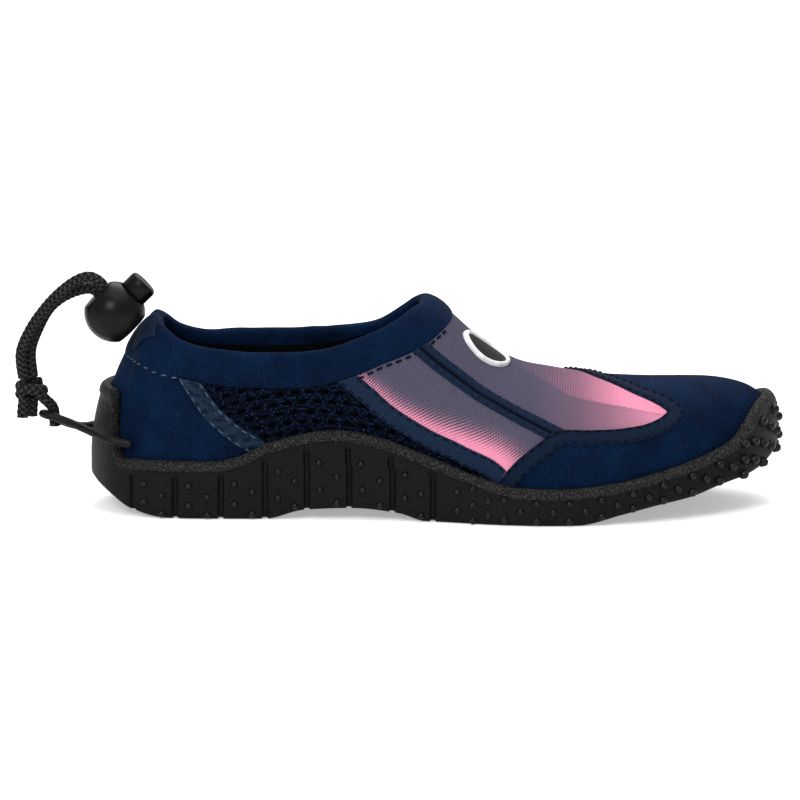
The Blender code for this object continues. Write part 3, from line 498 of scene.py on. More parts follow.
# The last's sections from heel to toe: spine along and across, outer edge along and across, inner
# edge along and across, height of the widest line, squareness, and tuck under the foot. Lengths
# along are shares of the sole's length, across of the ball width, heights of the instep height.
SECTIONS = np.array([
    (0.132, 0.000, 0.000, 0.000, 0.000, 0.000, 0.26, 1.7, 0.060),
    (0.132, 0.000, 0.022, 0.186, 0.022, 0.186, 0.26, 1.8, 0.060),
    (0.132, 0.000, 0.068, 0.293, 0.068, 0.293, 0.26, 2.7, 0.056),
    (0.140, 0.000, 0.132, 0.338, 0.132, 0.335, 0.26, 3.6, 0.052),
    (0.212, 0.004, 0.220, 0.347, 0.220, 0.332, 0.26, 3.4, 0.050),
    (0.308, 0.010, 0.320, 0.345, 0.320, 0.304, 0.26, 3.2, 0.050),
    (0.404, 0.018, 0.420, 0.367, 0.420, 0.314, 0.25, 2.9, 0.050),
    (0.500, 0.026, 0.508, 0.415, 0.508, 0.372, 0.22, 2.4, 0.048),
    (0.580, 0.034, 0.588, 0.477, 0.588, 0.447, 0.19, 2.2, 0.046),
    (0.660, 0.042, 0.668, 0.500, 0.672, 0.498, 0.19, 2.2, 0.046),
    (0.732, 0.050, 0.748, 0.468, 0.756, 0.487, 0.21, 2.2, 0.048),
    (0.796, 0.058, 0.824, 0.402, 0.836, 0.440, 0.25, 2.2, 0.054),
    (0.840, 0.062, 0.896, 0.296, 0.910, 0.358, 0.30, 2.3, 0.064),
    (0.862, 0.062, 0.958, 0.148, 0.964, 0.248, 0.34, 2.6, 0.074),
    (0.872, 0.060, 0.992, -0.060, 0.992, 0.060, 0.37, 2.8, 0.080),
])
LAST = len(SECTIONS) - 1
ROUND = 2 * LAST
WIDEST = 0.25
FOOT_TURN = math.radians(78)
GROUND = [
    (0.000, 0.464), (0.008, 0.393), (0.032, 0.250), (0.060, 0.096), (0.112, 0.000), (0.252, 0.000),
    (0.308, 0.114), (0.380, 0.143), (0.444, 0.090), (0.484, 0.000), (0.700, 0.000), (0.768, 0.125),
    (0.816, 0.214), (0.864, 0.286), (0.904, 0.393), (0.952, 0.500), (0.972, 0.607), (0.990, 0.786),
    (1.000, 1.000),
]
RIM = [
    (0.018, 0.571), (0.024, 0.552), (0.028, 0.494), (0.032, 0.403), (0.036, 0.325), (0.042, 0.279),
    (0.052, 0.273), (0.180, 0.273), (0.216, 0.299), (0.260, 0.364), (0.356, 0.422), (0.420, 0.390),
    (0.444, 0.364), (0.492, 0.306), (0.564, 0.221), (0.620, 0.178), (0.680, 0.175), (0.756, 0.195),
    (0.816, 0.234), (0.864, 0.273), (0.900, 0.312), (0.928, 0.351), (0.948, 0.416), (0.972, 0.481),
    (0.990, 0.506),
]
RIDGE = [
    (0.132, 0.974), (0.212, 1.090), (0.308, 1.143), (0.400, 1.100), (0.448, 1.040), (0.480, 0.990),
    (0.500, 0.950), (0.520, 0.896), (0.540, 0.835), (0.568, 0.756), (0.596, 0.697), (0.624, 0.658),
    (0.660, 0.634), (0.696, 0.612), (0.744, 0.594), (0.800, 0.588), (0.852, 0.590), (0.872, 0.587),
]


def smooth(places, values):
    """A curve through the rows that never overshoots them."""
    places, values = np.asarray(places, float), np.asarray(values, float)
    slopes = np.diff(values) / np.diff(places)
    both, total = slopes[:-1] * slopes[1:], slopes[:-1] + slopes[1:]
    inner = np.where(both > 0, 2 * both / np.where(both > 0, total, 1), 0)
    tangents = np.concatenate([slopes[:1], inner, slopes[-1:]])

    def read(place):
        place = np.clip(place, places[0], places[-1])
        i = np.clip(np.searchsorted(places, place, side="right") - 1, 0, len(places) - 2)
        span = places[i + 1] - places[i]
        t = (place - places[i]) / span
        rise = (3 * t**2 - 2 * t**3) * (values[i + 1] - values[i])
        lean = (t**3 - 2 * t**2 + t) * tangents[i] + (t**3 - t**2) * tangents[i + 1]
        return values[i] + rise + span * lean

    return read


def height_curve(rows, unit):
    """Heights by distance along the shoe, from rows of shares of its length and of a unit."""
    read = smooth([row[0] for row in rows], [row[1] * unit for row in rows])
    return lambda x: read(x / SOLE_LENGTH + 0.5)


ground = height_curve(GROUND, TOE_SPRING)
rim_height = height_curve(RIM, INSTEP_HEIGHT)
ridge = height_curve(RIDGE, INSTEP_HEIGHT)
spine_along, spine_across, _, _, _, _, widest_share, squareness, tuck_share = (
    smooth(range(len(SECTIONS)), SECTIONS[:, column]) for column in range(9)
)
outer_edge = [((row[2] - 0.5) * SOLE_LENGTH, -row[3] * BALL_WIDTH) for row in SECTIONS[:-1]]
inner_edge = [((row[4] - 0.5) * SOLE_LENGTH, row[5] * BALL_WIDTH) for row in SECTIONS[:0:-1]]
OUTLINE = np.array(outer_edge + inner_edge)


def outline(q):
    """The sole's outline at q, counted in sections once round the shoe from the back of the heel."""
    q = np.asarray(q, float)
    i = np.floor(q).astype(int)
    near = [OUTLINE[(i + step) % ROUND] for step in (-1, 0, 1, 2)]
    return between(*near, (q - i)[..., None])


def section(q):
    """The sizes of the section at q, by name."""
    q = np.asarray(q, float) % ROUND
    k = np.minimum(q, ROUND - q)
    x = (spine_along(k) - 0.5) * SOLE_LENGTH
    y = spine_across(k) * BALL_WIDTH
    edge = outline(q)
    far = np.hypot(edge[..., 0] - x, edge[..., 1] - y)
    out_x, out_y = (edge[..., 0] - x) / far, (edge[..., 1] - y) / far
    reach = far - SOLE_WALL - GAP
    tuck = tuck_share(k) * BALL_WIDTH
    foot_reach = reach - tuck * (1 - math.cos(FOOT_TURN))
    foot = ground(x + out_x * foot_reach) + SOLE_THICKNESS + GAP
    widest = widest_share(k) * INSTEP_HEIGHT
    return dict(
        x=x, y=y, out_x=out_x, out_y=out_y, reach=reach, edge_x=edge[..., 0], widest=widest,
        top=ridge(x), square=squareness(k), tuck=tuck, foot=foot, foot_reach=foot_reach,
    )


def out_from(s, out, z):
    """Points at a distance out from the spine of sections, at a height."""
    return np.stack([s["x"] + s["out_x"] * out, s["y"] + s["out_y"] * out, z], axis=-1)


def last(q, v):
    """Points of the foot's last: v is 0 at its foot and 1 on its ridge, and goes on down past 1."""
    q, v = np.broadcast_arrays(np.asarray(q, float), np.asarray(v, float))
    q, v = np.where(v > 1, -q, q), np.where(v > 1, 2 - v, v)
    s = section(q)
    turn = (1 - v / WIDEST) * FOOT_TURN
    low_out = s["reach"] - s["tuck"] * (1 - np.cos(turn))
    low_z = s["widest"] - (s["widest"] - s["foot"]) * np.sin(turn) / math.sin(FOOT_TURN)
    turn = np.clip((v - WIDEST) / (1 - WIDEST), 0, 1) * math.pi / 2
    across, up = np.cos(turn), np.sin(turn)
    size = (np.abs(across) ** s["square"] + up ** s["square"]) ** (1 / s["square"])
    out = np.where(v < WIDEST, low_out, s["reach"] * across / size)
    z = np.where(v < WIDEST, low_z, s["widest"] + (s["top"] - s["widest"]) * up / size)
    return out_from(s, out, z)


def last_normal(q, v):
    """Ways straight off the last. At the tips of its sections they are those of the sides near by."""
    q, v = np.broadcast_arrays(np.asarray(q, float), np.asarray(v, float))
    step = 0.004
    along = last(q + step, v) - last(q - step, v)
    up = last(q, v + step) - last(q, v - step)
    normal = np.cross(along, up)
    size = np.linalg.norm(normal, axis=-1, keepdims=True)
    flat = size[..., 0] < 1e-9
    normal = normal / np.maximum(size, 1e-12)
    if flat.any():
        normal[flat] = last_normal(q[flat], v[flat] - 0.04) + last_normal(-q[flat], v[flat] - 0.04)
        normal[flat] /= np.linalg.norm(normal[flat], axis=-1, keepdims=True)
    return normal


def off_last(q, v, distance):
    """Points that stand a distance off the last."""
    return last(q, v) + last_normal(q, v) * np.asarray(distance)[..., None]


def crossing(q, height, lowest=WIDEST):
    """Where the sections at q rise past a line seen from the side, or 1 where they never do."""
    low = np.full(np.shape(q), float(lowest))
    high = np.ones(np.shape(q))
    top = last(q, high)
    never = top[..., 2] <= height(top[..., 0])
    for _ in range(30):
        middle = (low + high) / 2
        p = last(q, middle)
        above = p[..., 2] > height(p[..., 0])
        high = np.where(above, middle, high)
        low = np.where(above, low, middle)
    return np.where(never, 1.0, high)


def rim_share(q):
    """How far up the last the rubber's top edge lies, as a share from its foot."""
    top = rim_height(section(q)["edge_x"])
    return crossing(q, lambda x: top, 0.0)


def over_ground(s, out, rise):
    """Points at a distance out from the spine of sections, at a rise over the sole's bottom line."""
    return out_from(s, out, ground(s["x"] + s["out_x"] * out) + rise)


def wall_point(q, z, extra):
    """Points of the rubber wall: upright up to the widest line, along the last above it."""
    s = section(q)
    upright = out_from(s, s["reach"] + GAP + SOLE_WALL + extra, z)
    leaning = off_last(q, crossing(q, lambda x: z), GAP + SOLE_WALL + extra)
    return np.where((z <= s["widest"])[..., None], upright, leaning)


GROOVE_HALF = 0.00095
GROOVE_DEPTH = 0.0014
GROOVES = [-0.1099, -0.0944, -0.0778, -0.0619, -0.0468, -0.0316, -0.0161, -0.0016]
GROOVE_TOP = 0.0055
GROOVE_FADE = 0.0012
# How deep a groove is at the underside's edge, as a share of its depth on the wall.
GROOVE_UNDER = 0.45
# Where columns of the wall's grid cross a groove, in halves of its width.
GROOVE_COLUMNS = (-1.5, -1.1, -0.95, -0.6, 0.0, 0.6, 0.95, 1.1, 1.5)
WALL_STEP = 0.0011
WALL_ROWS = 15
# The rim band's cross-section: a share of its height, and how far it stands out as a share of RIM_DEPTH.
BAND_PROFILE = [
    (0.04, 0.55), (0.14, 0.9), (0.32, 1.0), (0.55, 0.95), (0.75, 0.70), (0.90, 0.2), (0.98, -0.5),
]
UNDERSIDE = (0.0, 0.3, 0.55, 0.75, 0.88, 0.96)
INNER_FACE = (1.0, 0.8, 0.55, 0.25, 0.0)
CUP_FLOOR = (0.85, 0.6, 0.3, 0.0)

# The wall's columns stand at even steps round the outline, and closer where a groove begins and ends.
dense = np.linspace(0, ROUND, 6001)
dense_edge = outline(dense)
dense_along = np.concatenate([[0], np.cumsum(np.hypot(*np.diff(dense_edge, axis=0).T))])
wall_q = set(np.round(np.interp(np.arange(0, dense_along[-1], WALL_STEP), dense_along, dense), 5))
groove_marks = []
for half_round in (dense <= LAST, dense >= LAST):
    xs, qs = dense_edge[half_round, 0], dense[half_round]
    order = np.argsort(xs)
    for x in GROOVES:
        middle = float(np.interp(x, xs[order], qs[order]))
        middle_along = float(np.interp(middle, dense, dense_along))
        groove_marks.append(middle_along)
        for step in GROOVE_COLUMNS:
            place = middle_along + step * GROOVE_HALF
            wall_q.add(round(float(np.interp(place, dense_along, dense)), 5))
wall_q = np.array(sorted(wall_q))
wall_q = wall_q[np.concatenate([np.diff(wall_q) > 4e-4, [True]])]
wall_along = np.interp(wall_q, dense, dense_along)
to_groove = np.min(np.abs(wall_along[:, None] - np.array(groove_marks)[None, :]), axis=1)
# A groove has steep sides and a flat floor.
groove = np.clip(1 - (to_groove / (1.15 * GROOVE_HALF)) ** 6, 0, 1) * GROOVE_DEPTH

s = section(wall_q)
edge_out = s["reach"] + GAP + SOLE_WALL - SOLE_EDGE
edge_z = ground(s["x"] + s["out_x"] * edge_out)
rim_v = rim_share(wall_q)
rim_z = last(wall_q, rim_v)[:, 2]
round_up = edge_z + np.minimum(SOLE_EDGE, 0.4 * (s["widest"] - edge_z))
band_z = rim_z - RIM_HEIGHT
# Rows of points from the middle of the underside out and round its edge, up the wall, over the rim
# band, down the inner face and in over the floor of the cup.
rows = [over_ground(s, edge_out * share, groove * (0.5 if share else 0.0)) for share in UNDERSIDE]
rows.append(over_ground(s, edge_out, groove * GROOVE_UNDER))
for t in (0.25, 0.5, 0.75):
    turn = t * math.pi / 2
    corner = wall_point(wall_q, round_up, -SOLE_EDGE * (1 - math.sin(turn)) - groove)
    corner[:, 2] = edge_z + (round_up - edge_z) * (1 - math.cos(turn)) + groove * (1 - t) * GROOVE_UNDER
    rows.append(corner)
for j in range(WALL_ROWS + 1):
    z = round_up + (band_z - round_up) * j / WALL_ROWS
    top = rim_z - GROOVE_TOP
    fade = np.clip((top - z) / GROOVE_FADE, 0, 1) ** 0.5
    rows.append(wall_point(wall_q, z, -groove * fade))
for height, stand in BAND_PROFILE:
    rows.append(wall_point(wall_q, band_z + RIM_HEIGHT * height, RIM_DEPTH * stand * np.ones(len(wall_q))))
rows.append(off_last(wall_q, rim_v, 0.45 * SOLE_WALL))
for share in INNER_FACE:
    rows.append(off_last(wall_q, rim_v * share, GAP))
for share in CUP_FLOOR:
    rows.append(over_ground(s, s["foot_reach"] * share, SOLE_THICKNESS))
sole_points = np.stack(rows, axis=1)
sole_rows = sole_points.shape[1]
sole_uv = np.stack(np.broadcast_arrays(wall_along[:, None], lengths_along(sole_points, axis=1)), axis=-1)

# Moulded in an etched tool, so the wall is dull black with a fine leather-like grain and a little pale
# dust. The rim band is rougher; its lighter tone is a painted highlight where its top catches the light,
# and its many pale specks are partly dust and partly a painted sparkle.
rubber, rubber_shader = new_finish("moulded black rubber", 0.52, Specular_IOR_Level=0.10)
rubber_place = add(rubber, "TexCoord")
# The mould's leather-like grain, about 0.8 mm across.
grain = add(rubber, "TexNoise", {"Vector": rubber_place, "Scale": 1100.0, "Detail": 3.0, "Roughness": 0.6})
pebble = add(rubber, "TexVoronoi", {"Vector": rubber_place, "Scale": 900.0})
band_mark = add(rubber, "Attribute", attribute_name="rim_band")
# Painted highlight: the rim band is painted lighter than the wall below it.
band_highlight_tone = add(
    rubber, "Mix", {"Factor": band_mark, 6: srgb("#090A0B"), 7: srgb("#121314")}, data_type="RGBA"
)
dust = add(rubber, "TexNoise", {"Vector": rubber_place, "Scale": 1500.0, "Detail": 4.0, "Roughness": 0.75})
dust_and_sparkle_share = add(rubber, "ValToRGB", {"Fac": dust}, ((0.48, "#000000"), (0.64, "#FFFFFF")))
# Pale specks: dust on the wall; on the rim band they are partly dust and partly a painted sparkle.
band_dust_and_sparkle = add(rubber, "Math", {0: band_mark, 1: 0.66, 2: 0.08}, operation="MULTIPLY_ADD")
dust_and_sparkle_amount = add(rubber, "Math", {0: dust_and_sparkle_share, 1: band_dust_and_sparkle}, operation="MULTIPLY")
dust_and_sparkle_tone = add(rubber, "Mix", {"Factor": dust_and_sparkle_amount, 6: band_highlight_tone, 7: srgb("#545351")}, data_type="RGBA")
put(rubber, rubber_shader, "Base Color", dust_and_sparkle_tone)
grain_depth = add(rubber, "Math", {0: band_mark, 1: 0.75, 2: 0.25}, operation="MULTIPLY_ADD")
grain_mix = add(rubber, "Math", {0: grain, 1: pebble}, operation="ADD")
put(
    rubber, rubber_shader, "Normal",
    add(rubber, "Bump", {"Height": grain_mix, "Strength": grain_depth, "Distance": 0.0009}),
)

count = len(wall_q)
sole = show("sole_rubber", sole_points, grid_faces(count, sole_rows, closed=True), rubber, sole_uv)
# The rim_band mark places the band's painted highlight and sparkle, and fades out on the heel tab.
band_value = np.zeros((count, sole_rows), np.float32)
first_band_row = len(UNDERSIDE) + 4 + WALL_ROWS
band_value[:, first_band_row + 1 :] = np.interp(s["edge_x"], [-0.118, -0.100], [0.25, 1.0])[:, None]
mark(sole, "rim_band", band_value)
merge(sole)
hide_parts("outsole")

# Sole studs
# Small round-topped studs are moulded on the wall: three or four in each field between two grooves,
# and two or three rows of taller ones round the forefoot and toe.
STUD_SIDES = 10
STUD_RINGS = [(1.0, -0.4), (0.96, 0.0), (0.80, 0.55), (0.48, 0.90), (0.0, 1.0)]
STUD_RADIUS, STUD_HEIGHT = 0.0014, 0.0012
# Those between two grooves: a share of the way along the field, and of the way up.
FIELD_STUDS = ((0.30, 0.70), (0.30, 0.30), (0.70, 0.48), (0.70, 0.10))
WIDEST_FIELD = 0.030
# The rows round the forefoot: their step, how far they keep from the last groove, where three rows fit,
# and how their height and radius grow from the forefoot to the toe.
STUD_STEP = 0.0058
GROOVE_CLEAR = 0.009
TALL_WALL = 0.0125
TOE_GROWTH = 0.0005
FOREFOOT_HEIGHT, TOE_RISE = 0.0009, 0.0011
# The section where the studs begin to grow, and over how many sections they do.
GROWTH_FROM, GROWTH_OVER = 9.0, 3.5


def stud(points, faces, centre, out, radius, height):
    """A round-topped stud that stands on the wall along the way out."""
    out = out / np.linalg.norm(out)
    up = np.array((0.0, 0.0, 1.0)) - out * out[2]
    up /= np.linalg.norm(up)
    side = np.cross(out, up)
    first = len(points)
    for share, rise in STUD_RINGS[:-1]:
        for i in range(STUD_SIDES):
            turn = 2 * math.pi * i / STUD_SIDES
            round_way = side * math.cos(turn) + up * math.sin(turn)
            points.append(centre + out * rise * height + round_way * radius * share)
    points.append(centre + out * height)
    for ring in range(len(STUD_RINGS) - 2):
        for i in range(STUD_SIDES):
            a, b = first + ring * STUD_SIDES + i, first + ring * STUD_SIDES + (i + 1) % STUD_SIDES
            faces.append((a, b, b + STUD_SIDES, a + STUD_SIDES))
    base = first + (len(STUD_RINGS) - 2) * STUD_SIDES
    for i in range(STUD_SIDES):
        faces.append((base + i, base + (i + 1) % STUD_SIDES, len(points) - 1))
    faces.append(tuple(first + i for i in reversed(range(STUD_SIDES))))


stud_points, stud_faces = [], []


def wall_stud(along, share, radius, height):
    """One stud at a place round the wall, at a share of the way from its bottom edge to the band."""
    q = float(np.interp(along % dense_along[-1], dense_along, dense))
    low = float(np.interp(along % dense_along[-1], wall_along, edge_z))
    high = float(np.interp(along % dense_along[-1], wall_along, band_z))
    z = np.array([low + (high - low) * share])
    root = wall_point(np.array([q]), z, np.array([0.0]))[0]
    tip = wall_point(np.array([q]), z, np.array([0.001]))[0]
    stud(stud_points, stud_faces, root, tip - root, radius, height)


marks = np.array(sorted(groove_marks))
for one, other in zip(marks, marks[1:]):
    field = other - one
    if field > WIDEST_FIELD:
        continue
    for along_share, up_share in FIELD_STUDS:
        wall_stud(one + field * along_share, up_share, STUD_RADIUS, STUD_HEIGHT)
last_groove = len(GROOVES) - 1
forefoot = (marks[last_groove] + GROOVE_CLEAR, marks[last_groove + 1] - GROOVE_CLEAR)
studs_round = round((forefoot[1] - forefoot[0]) / STUD_STEP)
for i in range(studs_round + 1):
    along = forefoot[0] + (forefoot[1] - forefoot[0]) * i / studs_round
    q = float(np.interp(along, dense_along, dense))
    toe = max(0.0, min(1.0, (min(q, ROUND - q) - GROWTH_FROM) / GROWTH_OVER))
    tall = float(np.interp(along, wall_along, band_z - edge_z))
    levels = (0.22, 0.86) if i % 2 else (0.54,)
    if tall > TALL_WALL:
        levels = (0.10, 0.50, 0.92) if i % 2 else (0.30, 0.71)
    for up_share in levels:
        wall_stud(along, up_share, STUD_RADIUS + TOE_GROWTH * toe, FOREFOOT_HEIGHT + TOE_RISE * toe)
# Moulded in drilled pits, which are smoother than the tool's wall, so each stud has a small light.
polished, _, _ = mottled(
    "polished black rubber studs", 0.34, 0.24, {"Scale": 900.0, "Detail": 4.0},
    ((0.45, "#050506"), (0.75, "#131314")),
)
studs = show("sole_studs", stud_points, stud_faces, polished)

# Insole
# A soft foam footbed, die-cut from sheet with a dark knit laminated to its top. It lies loose in the
# shoe, on the floor of the cup sole.
INSOLE_THICKNESS = 0.0030
# Its rows from the middle of its underside round the edge to the middle of its top: a share of the
# way out, and of its thickness.
INSOLE_ROWS = [
    (0.0, 0.0), (0.5, 0.0), (1.0, 0.0), (1.0, 0.7), (0.985, 1.0), (0.9, 1.0), (0.7, 1.0), (0.45, 1.0),
    (0.2, 1.0), (0.0, 1.0),
]
insole_q = np.linspace(0, ROUND, 169)[:-1]
bed = section(insole_q)
insole_edge = bed["foot_reach"] - UPPER_WALL - GAP
insole_points = np.stack(
    [
        over_ground(bed, insole_edge * share, SOLE_THICKNESS + GAP + INSOLE_THICKNESS * rise)
        for share, rise in INSOLE_ROWS
    ],
    axis=1,
)
# Warp-knitted polyester glued to the foam, so the cover is dark and matt with loops 1 mm across.
knit, _, _ = mottled(
    "dark knit insole cover", 0.9, 0.03, {"Scale": 900.0}, ((0.0, "#06080F"), (1.0, "#141926")), "TexVoronoi"
)
insole = show("insole_foam", insole_points, grid_faces(len(insole_q), len(INSOLE_ROWS), closed=True), knit)
merge(insole)
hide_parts("insole")

# Upper
# A lasted shell of fabric panels sewn edge to edge, open at the collar. Centre strip and side panels
# are printed stretch jersey, the quarter is open mesh, toe cap and heel panel are neoprene.
UPPER_STEP = 1 / 14
OUTER_ROWS = 78
INNER_ROWS = 16
TAPE_WIDTH = 0.0066
TOE_TAPE_WIDTH = 0.0059
TAPE_THICKNESS = 0.0008
# The collar's top edge, how far the inner side dips below it, and the seam at its foot.
COLLAR_TOP = [
    (0.084, 0.940), (0.092, 0.922), (0.108, 0.888), (0.128, 0.844), (0.156, 0.813), (0.188, 0.796),
    (0.240, 0.782), (0.288, 0.782), (0.332, 0.795), (0.360, 0.818), (0.388, 0.853), (0.420, 0.896),
    (0.448, 0.945), (0.464, 0.975), (0.480, 0.990),
]
INNER_DIP = [
    (0.084, 0.000), (0.128, 0.032), (0.160, 0.030), (0.220, 0.000), (0.268, -0.006), (0.313, -0.008),
    (0.349, 0.006), (0.417, 0.055), (0.455, 0.035), (0.480, 0.000),
]
COLLAR_SEAM = [
    (0.044, 0.730), (0.072, 0.714), (0.096, 0.686), (0.128, 0.666), (0.164, 0.644), (0.204, 0.627),
    (0.256, 0.621), (0.312, 0.625), (0.348, 0.645), (0.388, 0.684), (0.416, 0.727), (0.460, 0.783),
    (0.484, 0.821), (0.506, 0.870), (0.520, 0.896),
]
# Tape routes: a section of the last and a share of the way from its ridge down to its foot, where
# the outer side counts as negative.
VAMP_TAPE = np.array([
    (6.20, 0.360), (6.60, 0.388), (7.00, 0.410), (7.50, 0.412), (8.05, 0.415), (8.60, 0.450), (9.20, 0.520),
])
SIDE_TAPE = np.array([
    (5.20, 0.500), (5.78, 0.568), (6.15, 0.612), (6.75, 0.650), (7.30, 0.668), (7.85, 0.690), (8.20, 0.760),
])
HEEL_TAPE = np.array([
    (2.80, 0.420), (3.05, 0.487), (3.30, 0.550), (3.55, 0.612), (3.90, 0.670), (4.25, 0.712), (4.70, 0.800),
])
TOE_TAPE = np.array([
    (8.10, -0.780), (8.30, -0.700), (8.75, -0.588), (9.15, -0.515), (9.70, -0.510), (10.30, -0.510),
    (10.80, -0.500), (11.18, -0.462), (11.38, -0.400), (11.24, -0.330), (10.98, -0.262), (10.70, -0.200),
    (10.40, -0.112), (10.00, 0.010), (9.60, 0.140), (9.20, 0.290), (8.85, 0.450), (8.60, 0.600),
    (8.45, 0.700), (8.35, 0.790),
])
# Soft folds of the heel panel and the quarter: two ends by section and girth, width and depth in mm.
FOLDS = [
    (1.10, -0.40, 1.45, -0.62, 3.2, 0.45),
    (1.75, -0.42, 2.10, -0.70, 3.0, 0.40),
    (2.30, -0.52, 2.75, -0.72, 2.6, 0.35),
    (3.55, -0.46, 4.10, -0.60, 2.6, 0.35),
    (4.60, -0.50, 5.20, -0.66, 2.8, 0.30),
    (6.60, -0.46, 7.60, -0.55, 3.0, 0.25),
    (9.60, -0.62, 10.8, -0.66, 4.0, 0.30),
    (1.10, 0.40, 1.45, 0.62, 3.2, 0.45),
    (2.10, 0.48, 2.40, 0.72, 3.0, 0.40),
    (3.60, 0.46, 4.10, 0.60, 2.6, 0.35),
    (4.60, 0.50, 5.30, 0.66, 2.8, 0.30),
    (9.60, 0.62, 10.6, 0.66, 4.0, 0.30),
]

# Beside each fold the cloth swells up by a share of its depth, a little further along and up.
SWELLING, SWELLING_BESIDE = 0.5, (0.004, 0.0, 0.001)
# How far down the vamp tapes' line runs behind their back ends, and where the toe cap may begin.
STRIP_BACK = 0.34
TOE_CAP_FROM = 8.0

collar_seam = height_curve(COLLAR_SEAM, INSTEP_HEIGHT)
collar_top = height_curve(COLLAR_TOP, INSTEP_HEIGHT)
inner_dip = height_curve(INNER_DIP, INSTEP_HEIGHT)


def inner_top(x):
    """The collar's top edge on the shoe's inner side."""
    return collar_top(x) - inner_dip(x)


def front_of(rows):
    """The section where a line round the collar runs into the ridge."""
    places = np.linspace(2.0, LAST, 4001)
    return float(np.interp(rows[-1][0], spine_along(places), places))


def shoe_q(at, girth):
    """A section counted once round the shoe, from a section and the girth's side."""
    return np.where(np.asarray(girth) < 0, at, -np.asarray(at, float))


def shoe_point(at, girth):
    """Points of the upper by section and girth."""
    return last(shoe_q(at, girth), 1 - np.abs(girth))


def trough(points, ends, width, depth):
    """How far points sink into a soft fold between two points."""
    way = ends[1] - ends[0]
    share = np.clip((points - ends[0]) @ way / (way @ way), 0, 1)
    far = np.linalg.norm(points - ends[0] - share[..., None] * way, axis=-1)
    fade = np.clip(4 * share * (1 - share), 0, 1) ** 0.5
    return depth * np.exp(-((far / width) ** 2)) * fade


def fold_depth(points):
    """The folds of the upper, each with a slight swelling beside it."""
    depth = np.zeros(points.shape[:-1])
    for at, girth, at_end, girth_end, width, deep in FOLDS:
        ends = shoe_point(np.array([at, at_end]), np.array([girth, girth_end]))
        depth += trough(points, ends, width / 1000, deep / 1000)
        depth -= trough(points, ends + SWELLING_BESIDE, width / 1000, SWELLING * deep / 1000)
    return depth


def split_line(marks):
    """A tape's centre line as many points of section and girth."""
    return route(marks, np.linspace(0, 1, 241))


seam_front = front_of(COLLAR_SEAM)
side_q = np.concatenate([np.arange(0, seam_front, UPPER_STEP), np.arange(seam_front, LAST, UPPER_STEP)])
upper_q = np.concatenate([side_q, [LAST], (ROUND - side_q[:0:-1])])
upper_k = np.minimum(upper_q, ROUND - upper_q)
upper_top = np.where(upper_k < seam_front - 1e-6, crossing(upper_q, collar_seam), 1.0)
rise = np.concatenate([[0.0, 0.08, 0.16], np.linspace(0.2, 1.0, OUTER_ROWS - 3)])
outer_v = upper_top[:, None] * rise
lining_v = upper_top[:, None] * np.linspace(1.0, 0.0, INNER_ROWS)
column_q = upper_q[:, None]
outer_points = off_last(column_q, outer_v, -fold_depth(last(column_q, outer_v)))
lining_points = off_last(column_q, lining_v, -UPPER_WALL)
upper_points = np.concatenate([outer_points, lining_points], axis=1)
rows = upper_points.shape[1]
upper_count = len(upper_q)

# Which panel each face of the outer layer belongs to, by its place among the tapes.
face_q = np.concatenate([(upper_q[:-1] + upper_q[1:]) / 2, [(upper_q[-1] + ROUND) / 2]])
face_v = (outer_v + np.roll(outer_v, -1, axis=0)) / 2
face_v = (face_v[:, :-1] + face_v[:, 1:]) / 2
face_at = np.minimum(face_q, ROUND - face_q)[:, None] + 0 * face_v
face_girth = np.where(face_q[:, None] <= LAST, -1, 1) * (1 - face_v)
toe_line = split_line(TOE_TAPE)
toe_loop = np.concatenate([[(4.0, -1.0)], toe_line, [(4.0, 1.0)]])


def within(loop, x, y):
    """Whether places lie inside a closed line."""
    inside = np.zeros(x.shape, bool)
    for (x1, y1), (x2, y2) in zip(loop, np.roll(loop, -1, axis=0)):
        if y1 != y2:
            inside ^= ((y1 > y) != (y2 > y)) & (x < (x2 - x1) * (y - y1) / (y2 - y1) + x1)
    return inside


def panel_of(at, girth):
    """0 centre strip, 1 side panel, 2 mesh quarter, 3 toe cap, 4 heel panel."""
    down = np.abs(girth)
    behind = at < np.interp(down, HEEL_TAPE[:, 1], HEEL_TAPE[:, 0])
    above_side = down < np.interp(at, SIDE_TAPE[:, 0], SIDE_TAPE[:, 1], left=-1.0)
    above_vamp = down < np.interp(at, VAMP_TAPE[:, 0], VAMP_TAPE[:, 1], left=STRIP_BACK)
    panel = np.where(above_side, np.where(above_vamp, 0, 1), 2)
    panel = np.where(within(toe_loop, at, girth) | (at < TOE_CAP_FROM), panel, 3)
    return np.where(behind, 4, panel)


face_panel = panel_of(face_at, face_girth)
upper_faces, face_looks = [], []
for i in range(upper_count):
    there = (i + 1) % upper_count
    open_here = min(upper_k[i], upper_k[there]) < seam_front - 1e-6
    for j in range(rows - 1):
        if j == OUTER_ROWS - 1 and not open_here:
            continue
        a, b = i * rows + j, there * rows + j
        upper_faces.append((a, b, b + 1, a + 1))
        face_looks.append(int(face_panel[i, j]) if j < OUTER_ROWS - 1 else 5)

# The fabric's own map: along the shoe, and down from the ridge.
MAP_STEPS = 90
down_walk = lengths_along(last(column_q, np.linspace(1, 0, MAP_STEPS)[None]), axis=1)
upper_v = np.concatenate([outer_v, lining_v], axis=1)
down_share = np.linspace(0, 1, MAP_STEPS)
upper_down = np.stack([np.interp(1 - v, down_share, walk) for v, walk in zip(upper_v, down_walk)])
upper_uv = np.stack([upper_points[..., 0], upper_down], axis=-1)

